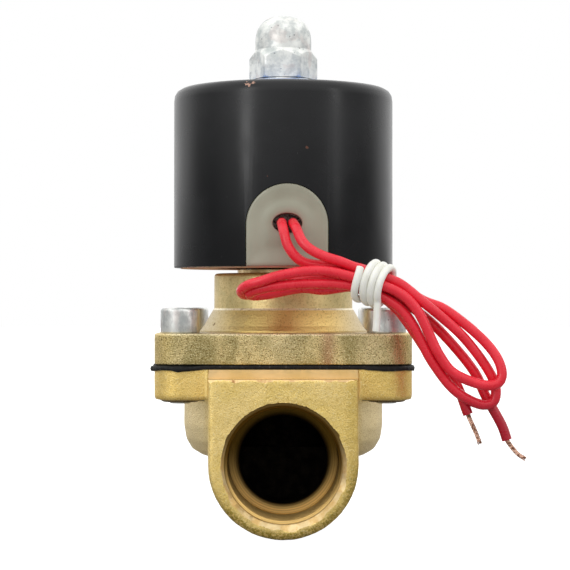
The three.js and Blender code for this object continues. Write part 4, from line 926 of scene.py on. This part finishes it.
# ---- valve body -----------------------------------------------------------------------------------
def casting():
    """The unmachined body: overlapping solids melted into one skin, with soft edges and inner corners."""
    bowl = [(ON_AXIS, -1, 0), (BOWL_RADIUS, -1, 7.5), (BOWL_RADIUS, 18, 0), (ON_AXIS, 18, 0)]
    parts = [
        slab("flange", FLANGE_HALF, FLANGE_CORNER, BODY_FLANGE_BOTTOM, BODY_FLANGE_TOP + 1, 0.4),
        lathe("bowl", bowl, 96, "caps"),
        rod("barrel", BARREL_RADIUS, -21, 21, 72, along_y=True),
        port_block("block_in", -1, PORT_TOP + 0.8),
        port_block("block_out", 1, PORT_TOP + 0.8),
        cuboid("pads", (-PORT_HALF_WIDTH + 0.1, -PAD_FRONT - 0.8, PORT_TOP - 1),
               (PORT_HALF_WIDTH - 0.1, PAD_FRONT + 0.8, BODY_FLANGE_TOP + 1)),
        *rods_at_screws(BOSS_RADIUS, BOSS_BOTTOM, 16, 40),
    ]
    body = joined("valve_body_cast", parts)
    remesh = body.modifiers.new("remesh", "REMESH")
    remesh.mode = "VOXEL"
    remesh.voxel_size = 0.42 * MM
    smooth = body.modifiers.new("smooth", "SMOOTH")
    smooth.factor = 0.5
    smooth.iterations = 3
    apply_modifiers(body)
    return body


def lump(position, *layers):
    """Height in millimetres of an uneven surface, from (lumps per metre, height) layers."""
    return sum(noise.noise(position * frequency) * height for frequency, height in layers)


def unevenness(body):
    """Shallow dips and lumps of a cast surface."""
    shape = bmesh.new()
    shape.from_mesh(body.data)
    shape.normal_update()
    moves = [v.normal * (lump(v.co, (420, 0.05), (1300, 0.03)) * MM) for v in shape.verts]
    for vertex, move in zip(shape.verts, moves):
        vertex.co += move
    shape.to_mesh(body.data)
    shape.free()


def chips(along, share, seed):
    """Depth of the nicks at a place along an edge. More share gives more of them."""
    broad, fine, ragged = (0.35, 0, share, 0.7), (1.3, 9, 0, 0.25), (3.3, 4, 0, 0.16)
    return sum(
        depth * max(0.0, noise.noise(Vector((along * frequency, seed, row))) + more)
        for frequency, row, more, depth in (broad, fine, ragged)
    )


def socket_cutter(side):
    """The mouth, worn widest at its lower right, and the bore that the thread ring sits in."""
    angles = around(320)
    wear_depth = 0.5
    nicks = np.array([chips(a * THREAD_MAJOR, 0.1 - 0.3 * math.sin(a), side) for a in angles])
    worn = nicks + wear_depth * np.clip(np.cos(angles - WEAR_DIRECTION), 0, 1)
    stations = [
        (2, 2, 1), (0, 0.05, 1), (-CHAMFER_DEPTH, -0.3, 0), (-THREAD_DEPTH, -0.3, 0),
        (-THREAD_DEPTH, -13.2, 0),
    ]
    return skin("socket", [
        circle(THREAD_MAJOR + wider + worn * wear, side * (PORT_FACE + ahead), angles, along_y=True)
        for ahead, wider, wear in stations
    ])


def edge_cutter(side):
    """A ragged chamfer along the block's top edge."""
    rings = []
    for x in np.linspace(-17.2, 17.2, 160):
        nick = 0.16 + chips(x, 0.1 + 0.25 * max(0.0, abs(x) - 14.5), 4.2 + side)
        y, z = PORT_FACE, PORT_TOP
        section = [(y - nick, z + 0.6), (y - nick, z), (y, z - nick), (y + 1, z - nick), (y + 1, z + 0.6)]
        rings.append([(x, side * v, w) for v, w in section])
    return skin("edge", rings)


def machined(body):
    """Everything that is cut into the casting."""
    for side in (-1, 1):
        near, far = sorted((side * PAD_FRONT, side * (BEYOND + 5)))
        cut(body, cuboid("mill", (-BEYOND, near, PORT_TOP), (BEYOND, far, ABOVE)), MILLED_BRASS)
        cut(body, edge_cutter(side), MILLED_BRASS)
    cut(body, cuboid("face", (-BEYOND, -BEYOND, BODY_FLANGE_TOP), (BEYOND, BEYOND, ABOVE)), MILLED_BRASS)
    for side in (-1, 1):
        cut(body, socket_cutter(side), THREAD_BRASS)
    chamber = [
        (ON_AXIS, SEAT_TOP, 0), (SEAT_RADIUS - 1, SEAT_TOP, 0), (SEAT_RADIUS, SEAT_TOP - 1, 0),
        (SEAT_RADIUS, CHAMBER_FLOOR, 0), (CHAMBER_RADIUS, CHAMBER_FLOOR, 0), (CHAMBER_RADIUS, 22, 0),
        (ON_AXIS, 22, 0),
    ]
    cut(body, rod("inlet", PASSAGE_RADIUS, -PASSAGE_START, -INLET_END, 64, along_y=True), BORE_PAINTED_SHADE)
    cut(body, rod("outlet", PASSAGE_RADIUS, 0, PASSAGE_START, 64, along_y=True), BORE_PAINTED_SHADE)
    cut(body, lathe("chamber", chamber, 96, "caps"), BORE_PAINTED_SHADE)
    well = lathe("well", [
        (SEAT_RADIUS, WELL_FLOOR, 0), (CHAMBER_RADIUS, WELL_FLOOR, 0),
        (CHAMBER_RADIUS, CHAMBER_FLOOR + 1, 0), (SEAT_RADIUS, CHAMBER_FLOOR + 1, 0),
    ], 96)
    combine(well, cuboid("half", (-30, -30, 0), (30, -WELL_EDGE, 20)), "INTERSECT")
    cut(body, well, BORE_PAINTED_SHADE)
    cut(body, rod("seat", SEAT_BORE, 0, 18, 64), BORE_PAINTED_SHADE)
    cut(body, screw_holes(11, 21), MILLED_BRASS)


def screw_holes(bottom, top):
    return joined("holes", rods_at_screws(SCREW_HOLE_RADIUS, bottom, top, 32))


def thread_ring(name, side):
    """The internal pipe thread, as a sleeve in the body's bore."""
    outer, lead_in, mouth_widening = THREAD_MAJOR + 0.15, 1.3, 0.9
    groove_depth, groove_width, flank = 0.7, 1.35, 3.4
    depths = np.arange(CHAMFER_DEPTH, THREAD_DEPTH + 0.35, THREAD_PITCH / 10)
    angles = around(128)

    def ring(radius, depth):
        return circle(radius, side * (PORT_FACE - depth), angles, along_y=True)

    rings = []
    for depth in depths:
        phase = (depth / THREAD_PITCH - angles * side / (2 * math.pi)) % 1
        groove = np.clip(groove_width - np.abs(phase - 0.5) * flank, 0, 1)
        mouth = max(0.0, 1 - (depth - CHAMFER_DEPTH) / lead_in)
        rings.append(ring(THREAD_MINOR + mouth_widening * mouth + groove_depth * (1 - mouth) * groove, depth))
    rings += [ring(outer, depths[-1]), ring(outer, depths[0])]
    return skin(name, rings, "loop")


body = casting()
unevenness(body)
paint(body, BODY_BRASS)
machined(body)
place(shade(body, 40), "root", "body_brass", "valve_body")
for name, side in (("thread_inlet", -1), ("thread_outlet", 1)):
    thread = paint(shade(thread_ring(name, side), 70), THREAD_BRASS)
    place(thread, "root", "body_brass", "valve_body")


# ---- bonnet ---------------------------------------------------------------------------------------
def bonnet_flange():
    """The square flange, with a slightly uneven rim."""
    corners = [
        (FACE_INSET, BONNET_BOTTOM, 0), (0, BONNET_BOTTOM, 0.35), (0, BONNET_FLANGE_TOP, 0.55),
        (FACE_INSET, BONNET_FLANGE_TOP, 0),
    ]
    outline = [point for point in rounded(corners) if point[0] < 5]
    wall = []
    for (inset, z), (next_inset, next_z) in zip(outline, outline[1:]):
        steps = 8 if abs(next_z - z) > 3 else 1
        for step in range(steps):
            t = step / steps
            wall.append((inset + (next_inset - inset) * t, z + (next_z - z) * t))
    wall.append(outline[-1])
    rings = [square_ring(FLANGE_HALF - inset, FLANGE_CORNER - inset, z, 10, 34) for inset, z in wall]
    flange = skin("bonnet_cast", rings)
    for vertex in flange.data.vertices:
        out = Vector((vertex.co.x, vertex.co.y, 0)).normalized()
        vertex.co += out * (lump(vertex.co, (300, 0.07), (900, 0.035)) * MM)
    return flange


def bonnet_cone():
    """Cone and neck, with a bright ridge where they meet and a rounded top."""
    profile = [
        (ON_AXIS, BONNET_BOTTOM + 1, 0), (CONE_RADIUS + 0.35, BONNET_BOTTOM + 1, 0),
        (CONE_RADIUS + 0.35, BONNET_FLANGE_TOP + 0.3, 0.3), (CONE_RADIUS - 0.5, 29.4, 1.2),
        (NECK_RADIUS + 0.28, CONE_TOP - 0.15, 0.16), (NECK_RADIUS + 0.02, CONE_TOP + 0.22, 0.1),
        (NECK_RADIUS, NECK_TOP, 0.9), (ON_AXIS, NECK_TOP, 0),
    ]
    return lathe("cone", profile, 128, "caps")


def bonnet_piece():
    bonnet = paint(bonnet_flange(), BONNET_BRASS)
    combine(bonnet, bonnet_cone(), "UNION", TURNED_BRASS)
    mouth_radius, tube_radius, collar_radius = 17.8, 9.2, 11
    mouth_roof, collar_seat = 25, 36
    hollow = [
        (ON_AXIS, 20, 0), (mouth_radius, 20, 0), (mouth_radius, mouth_roof, 0), (tube_radius, mouth_roof, 0),
        (tube_radius, collar_seat, 0), (collar_radius, collar_seat, 0), (collar_radius, 43, 0),
        (ON_AXIS, 43, 0),
    ]
    cut(bonnet, lathe("hollow", hollow, 96, "caps"), INNER_BRASS)
    cut(bonnet, screw_holes(20, 29), INNER_BRASS)
    return bonnet


place(shade(bonnet_piece(), 30), "root", "bonnet_brass", "bonnet")


# ---- diaphragm ------------------------------------------------------------------------------------
def held(value):
    return max(0.0, min(1.0, value))


def squeeze(x, y):
    """How far the rubber stands out of the joint, how thick its bead is, and how far it droops, there."""
    corner = held((abs(x) - 15) / 5) if y < 0 else held((abs(x) - 12) / 8)
    wave = noise.noise(Vector((x * 0.16, y * 0.16, 3.7)))
    side = 1.0 if x < 0 else 0.45
    rough = noise.noise(Vector((x * 0.9, y * 0.9, 7.1))) + noise.noise(Vector((x * 2.1, y * 2.1, 2.4)))
    proud = 0.14 + corner * (0.35 + 0.55 * side) + 0.12 * wave + 0.14 * rough
    thick = 0.42 + 0.14 * corner * (0.8 + 0.5 * wave) + 0.12 * rough
    sag = corner * (0.32 + 0.25 * noise.noise(Vector((x * 0.22 + 5, y * 0.22, 1.3))))
    return max(0.05, proud), thick, sag


def diaphragm_piece():
    """Rubber sheet with a convolution round the disc, and a bead squeezed out of the joint."""
    bottom, top = 20.2, 21.0
    middle, half_sheet = (bottom + top) / 2, (top - bottom) / 2
    outline = [(x, y) for x, y, _ in square_ring(FLANGE_HALF, FLANGE_CORNER, 0, 14, 40)]
    angles = np.array([math.atan2(y, x) for x, y in outline])

    def inside_joint(z):
        return [(x * 0.985, y * 0.985, z) for x, y in outline]

    def bead(share, height):
        ring = []
        for x, y in outline:
            proud, thick, sag = squeeze(x, y)
            out = proud * share
            lip = held((out - 0.1) / 0.2)
            half = half_sheet + (thick - half_sheet) * lip
            wider = 1 + out / math.hypot(x, y)
            ring.append((x * wider, y * wider, middle + half * height - sag * lip))
        return ring

    below = ((4.3, 16.2), (12.8, 16.2), (14.2, 17.2), (16.3, 19.5), (17.5, 20.2))
    above = ((17.3, 21.0), (15.9, 20.2), (13.8, 18.0), (12.6, 17.0), (4.3, 17.0))
    rings = [circle(radius, z, angles) for radius, z in below]
    rings.append(inside_joint(bottom))
    for share, height in ((0.35, -1.0), (0.8, -0.8), (1.0, 0.0), (0.8, 0.8), (0.35, 1.0)):
        rings.append(bead(share, height))
    rings.append(inside_joint(top))
    rings += [circle(radius, z, angles) for radius, z in above]
    sheet = skin("diaphragm_sheet", rings, "loop")
    cut(sheet, screw_holes(18, 23))
    return sheet


sheet = paint(shade(diaphragm_piece(), 50), RUBBER)
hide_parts("diaphragm")
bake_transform(sheet)


# ---- return spring --------------------------------------------------------------------------------
def spring_piece():
    """Round wire wound between the plunger and the fixed core."""
    bottom, top, radius, wire_radius, turns, sides = 48.2, 65.8, 2.7, 0.2, 8, 10
    steps = turns * 28
    rings = []
    for i in range(steps + 1):
        angle = 2 * math.pi * turns * i / steps
        out = Vector((math.cos(angle), math.sin(angle), 0))
        rise = bottom + wire_radius + (top - bottom - 2 * wire_radius) * i / steps
        centre = out * radius + Vector((0, 0, rise))
        ring = []
        for side in range(sides):
            turn = 2 * math.pi * side / sides
            lift = Vector((0, 0, wire_radius * math.sin(turn)))
            ring.append(centre + out * (wire_radius * math.cos(turn)) + lift)
        rings.append(ring)
    return skin("return_spring", rings)


spring = paint(shade(spring_piece()), STAINLESS)
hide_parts("plunger_spring")
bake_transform(spring)


# ---- screws, nut, washer and label ----------------------------------------------------------------
def screw(index, x, y):
    """Socket-head screw, at x, y and turned a little further than the one before it."""
    head_bottom, head_top, head_radius = 28.1, 33.5, 4.35
    socket_radius, socket_floor, step_turn = 2.31, 31, 0.9
    profile = [
        (ON_AXIS, 12.5, 0), (2.1, 12.5, 0), (2.5, 12.9, 0), (2.5, head_bottom, 0),
        (head_radius, head_bottom, 0.15), (head_radius, head_top, 0.75), (2.9, head_top, 0.12),
        (2.55, head_top - 0.3, 0), (ON_AXIS, head_top - 0.3, 0),
    ]
    piece = paint(lathe(f"screw_{index}", profile, 48, "caps"), SCREW_ZINC)
    socket = [circle(socket_radius, z, around(6)) for z in (socket_floor, head_top + 1.5)]
    cut(piece, skin("socket", socket), SCREW_ZINC)
    piece.data.transform(Matrix.Rotation(index * step_turn, 4, "Z"))
    place(shade(moved(piece, x, y)), "root", "zinc_steel", f"bonnet_screw_{index}")


for index, (sign_x, sign_y) in enumerate([(-1, -1), (1, -1), (-1, 1), (1, 1)], 1):
    screw(index, sign_x * SCREW_OFFSET, sign_y * SCREW_OFFSET)


def cap_nut():
    """Hexagon with chamfered corners, and a dome on it. Each ring's radius is the larger of the two."""
    flats, corner_round, corner_radius = 14.0, 0.12, 8.1
    top_slope, foot, foot_slope = 0.72, 0.35, 1.3
    bulge, bore_top = 2.5, 96.8
    shoulder, hex_top, dome = 91.4, 93.7, 6.55
    angles = around(144)
    within = (angles % (math.pi / 3)) - math.pi / 6
    hexagon = np.minimum(flats / 2 / np.cos(within), flats / math.sqrt(3) - corner_round)
    centre = NUT_TOP - dome
    heights = [NUT_BOTTOM, NUT_BOTTOM + 0.15, NUT_BOTTOM + foot, 89, 90.5]
    heights += list(np.arange(shoulder - 0.2, hex_top + 0.5, 0.14)) + [94.6]
    heights += [centre + dome * math.sin(math.radians(a)) for a in range(0, 90, 6)]
    rings = [circle(STUD_BORE, z, angles) for z in (bore_top, NUT_BOTTOM)]
    for z in heights:
        chamfer = corner_radius - max(0.0, z - shoulder) * top_slope
        chamfer -= max(0.0, NUT_BOTTOM + foot - z) * foot_slope
        outline = np.minimum(hexagon, chamfer) if z < hex_top + 0.35 else dome
        rise = z - centre
        ball = dome if rise <= 0 else dome * (1 - (rise / dome) ** bulge) ** (1 / bulge)
        rings.append(circle(np.maximum(outline, ball) if rise <= 0 else ball, z, angles))
    nut = skin("cap_nut_zinc", rings)
    nut.data.transform(Matrix.Rotation(NUT_YAW, 4, "Z"))
    return nut


place(paint(shade(cap_nut(), 28), NUT_ZINC), "root", "zinc_steel", "cap_nut")

washer = [(STUD_BORE, 85.5, 0.1), (7.0, 85.5, 0.15), (7.0, 86.7, 0.15), (STUD_BORE, 86.7, 0.1)]
washer_piece = paint(lathe("split_washer", washer, 72), NUT_ZINC)
cut(washer_piece, cuboid("slit", (0, -0.5, 85), (8, 0.5, 87)), NUT_ZINC)
place(shade(washer_piece), "root", "zinc_steel", "spring_washer")

label = [(STUD_BORE, 84.5, 0), (15.0, 84.5, 0.1), (15.0, 85.4, 0.3), (STUD_BORE, 85.4, 0.1)]
place(paint(shade(turned_with_coil(lathe("label", label, 128))), LABEL), "coil", "blue_label", "label_disc")


# ---- coil -----------------------------------------------------------------------------------------
def arch_outline(half_width, bottom, top, count):
    """Points round an arch, evenly spaced by angle from its middle, as (x, z)."""
    middle_z = top - half_width
    points = []
    for i in range(count):
        angle = 2 * math.pi * i / count
        dx, dz = math.cos(angle), math.sin(angle)
        reach = half_width if dz >= 0 else min(
            half_width / max(abs(dx), 1e-6), (middle_z - bottom) / max(-dz, 1e-6)
        )
        points.append((dx * reach, middle_z + dz * reach))
    return points


def can_piece():
    wall, edge = 1.2, 3.0
    inner = COIL_RADIUS - wall
    profile = [
        (inner, COIL_BOTTOM, 0.2), (COIL_RADIUS, COIL_BOTTOM, 0.3), (COIL_RADIUS, COIL_TOP, edge),
        (CENTRE_BORE, COIL_TOP, 0.3), (CENTRE_BORE, COIL_TOP - wall, 0),
        (inner, COIL_TOP - wall, edge - wall),
    ]
    can = paint(lathe("coil_shell", profile, 160), CAN_PAINT)
    outline = arch_outline(9.25, COIL_BOTTOM - 2, COIL_BOTTOM + 18.35, 96)
    notch = skin("notch", [[(x, y, z) for x, z in outline] for y in (-30, NOTCH_BACK)])
    cut(can, notch, CAN_PAINT)
    return turned_with_coil(can)


def grommet_piece():
    """Arched plug with a shallow dish round the slot for the leads."""
    outer = arch_outline(9.1, COIL_BOTTOM + 0.1, COIL_BOTTOM + 18.2, 96)

    def ring_at(share, sink=None):
        """Points on the way from slot to rim, sunk below the can's curve, or at the back."""
        ring = []
        for rim_x, rim_z in outer:
            angle = math.atan2(rim_z - SLOT_Z, rim_x)
            slot_x, slot_z = 3.25 * math.cos(angle), SLOT_Z + 2.2 * math.sin(angle)
            x, z = slot_x + (rim_x - slot_x) * share, slot_z + (rim_z - slot_z) * share
            ring.append((x, NOTCH_BACK if sink is None else sink - math.sqrt(COIL_RADIUS**2 - x * x), z))
        return ring

    dish = (
        (0.0, 0.6), (0.015, 0.3), (0.05, 0.17), (0.14, 0.08), (0.22, 0.07), (0.3, 0.12), (0.4, 0.28),
        (0.52, 0.36), (0.66, 0.22), (0.8, 0.07), (0.9, 0.0), (0.975, 0.02), (1.0, 0.18),
    )
    rings = [ring_at(0.0), *(ring_at(share, sink) for share, sink in dish), ring_at(1.0)]
    return turned_with_coil(skin("grommet", rings, "loop"))


place(shade(can_piece(), 35), "coil", "can_paint", "coil_can")
place(paint(shade(grommet_piece(), 40), GROMMET), "coil", "grommet_plastic", "lead_grommet")


def base_plate_piece():
    """Flat ring under the coil, thin where the grommet stands on it."""
    bottom, top, radius = 42.6, 44.1, 24.0
    profile = [(CENTRE_BORE, bottom, 0.1), (radius, bottom, 0.1), (radius, top, 0.2), (CENTRE_BORE, top, 0.1)]
    plate = paint(lathe("base_plate", profile, 128), COPPER_PLATE)
    notch_half_width, notch_back, lip = 10.9, -21.2, 0.28
    low, high = (-notch_half_width, -26, bottom + lip), (notch_half_width, notch_back, 46)
    cut(plate, cuboid("notch", low, high), COPPER_PLATE)
    return turned_with_coil(shade(plate))


place(base_plate_piece(), "coil", "copper_plate", "coil_base_plate")


# ---- pieces inside, which keep their CAD shape ----------------------------------------------------
INSIDE = {
    "main_disc": INNER_BRASS, "diaphragm_plate": INNER_BRASS, "disc_nut": INNER_BRASS,
    "tube_collar": INNER_BRASS, "lift_cage": STAINLESS, "plunger": STAINLESS, "guide_tube": TUBE_STEEL,
    "fixed_core": STAINLESS, "pilot_seal": RUBBER, "tube_o_ring": RUBBER, "coil_bobbin": NYLON,
    "coil_winding": WINDING, "winding_tape": TAPE, "coil_potting": POTTING,
}
for name, finish in INSIDE.items():
    node = nodes[name]
    for material_slot in node.material_slots:
        material_slot.material = finish
    softened = node.modifiers.new("edges", "BEVEL")
    softened.width = 0.12 * MM
    softened.segments = 2
    softened.limit_method = "ANGLE"
    softened.angle_limit = math.radians(40)


# ---- studio ---------------------------------------------------------------------------------------
WORLD_STRENGTH = 1.12


def make_floor():
    reach, level = 3, cad_low.z - 0.0001
    ring = [(x * reach, y * reach, level) for x, y in ((-1, -1), (1, -1), (1, 1), (-1, 1))]
    mesh = bpy.data.meshes.new("floor")
    mesh.from_pydata(ring, [], [(0, 1, 2, 3)])
    floor = link("floor", mesh)
    finish = bpy.data.materials.new("floor")
    finish.use_nodes = True
    shader = finish.node_tree.nodes["Principled BSDF"]
    shader.inputs["Base Color"].default_value = (0.3, 0.3, 0.3, 1)
    shader.inputs["Roughness"].default_value = 0.9
    seen = finish.node_tree.nodes.new("ShaderNodeLightPath").outputs["Is Camera Ray"]
    shader.inputs["Emission Color"].default_value = (1, 1, 1, 1)
    finish.node_tree.links.new(seen, shader.inputs["Emission Strength"])
    mesh.materials.append(finish)


def make_world():
    """White surroundings, brighter above, with two darker sides and a darker front."""
    world = bpy.data.worlds.new("studio")
    bpy.context.scene.world = world
    world.use_nodes = True
    tree = world.node_tree
    background = tree.nodes["Background"]
    direction = tree.nodes.new("ShaderNodeTexCoord").outputs["Generated"]
    parts = tree.nodes.new("ShaderNodeSeparateXYZ")
    tree.links.new(direction, parts.inputs[0])

    def calculate(operation, *values):
        made = tree.nodes.new("ShaderNodeMath")
        made.operation = operation
        for i, value in enumerate(values):
            if isinstance(value, (int, float)):
                made.inputs[i].default_value = value
            else:
                tree.links.new(value, made.inputs[i])
        return made.outputs[0]

    def mixed(share, color, grey):
        made = tree.nodes.new("ShaderNodeMix")
        made.data_type = "RGBA"
        tree.links.new(share, made.inputs[0])
        tree.links.new(color, made.inputs[6])
        made.inputs[7].default_value = (grey, grey, grey, 1)
        return made.outputs[2]

    azimuth = calculate("ARCTAN2", parts.outputs["X"], calculate("MULTIPLY", parts.outputs["Y"], -1.0))
    turn = calculate("MULTIPLY_ADD", azimuth, 1 / (2 * math.pi), 0.5)
    ramp = tree.nodes.new("ShaderNodeValToRGB")
    tree.links.new(turn, ramp.inputs[0])
    stops = [
        (-180, 1.0), (-118, 1.0), (-100, 0.3), (-78, 0.25), (-58, 0.75), (-38, 0.85), (-10, 0.6), (25, 0.5),
        (55, 0.55), (74, 0.35), (90, 0.18), (104, 0.3), (124, 1.0), (180, 1.0),
    ]
    elements = ramp.color_ramp.elements
    while len(elements) < len(stops):
        elements.new(0.5)
    for element, (degrees, value) in zip(elements, stops):
        element.position = (degrees + 180) / 360
        element.color = (value, value, value, 1)
    height = calculate("SMOOTH_MAX", parts.outputs["Z"], 0.0, 0.1)
    top = calculate("MINIMUM", calculate("MULTIPLY", height, 1.6), 1.0)
    lit = mixed(top, ramp.outputs[0], 1.15)
    seen = tree.nodes.new("ShaderNodeLightPath").outputs["Is Camera Ray"]
    tree.links.new(mixed(seen, lit, 1 / WORLD_STRENGTH), background.inputs["Color"])
    background.inputs["Strength"].default_value = WORLD_STRENGTH


def make_light(name, location, size, power):
    data = bpy.data.lights.new(name, "AREA")
    data.shape = "RECTANGLE"
    data.size, data.size_y = size
    data.energy = power
    light = link(name, data)
    light.location = location
    aim = Vector((0, 0, 0.04)) - Vector(location)
    light.rotation_euler = aim.to_track_quat("-Z", "Y").to_euler()


make_floor()
make_world()
make_light("key_left", (-0.53, -0.67, 0.35), (0.14, 0.5), 1.0)
make_light("fill_right", (0.70, -0.47, 0.3), (0.10, 0.5), 0.4)
bpy.context.scene.view_settings.view_transform = "Standard"
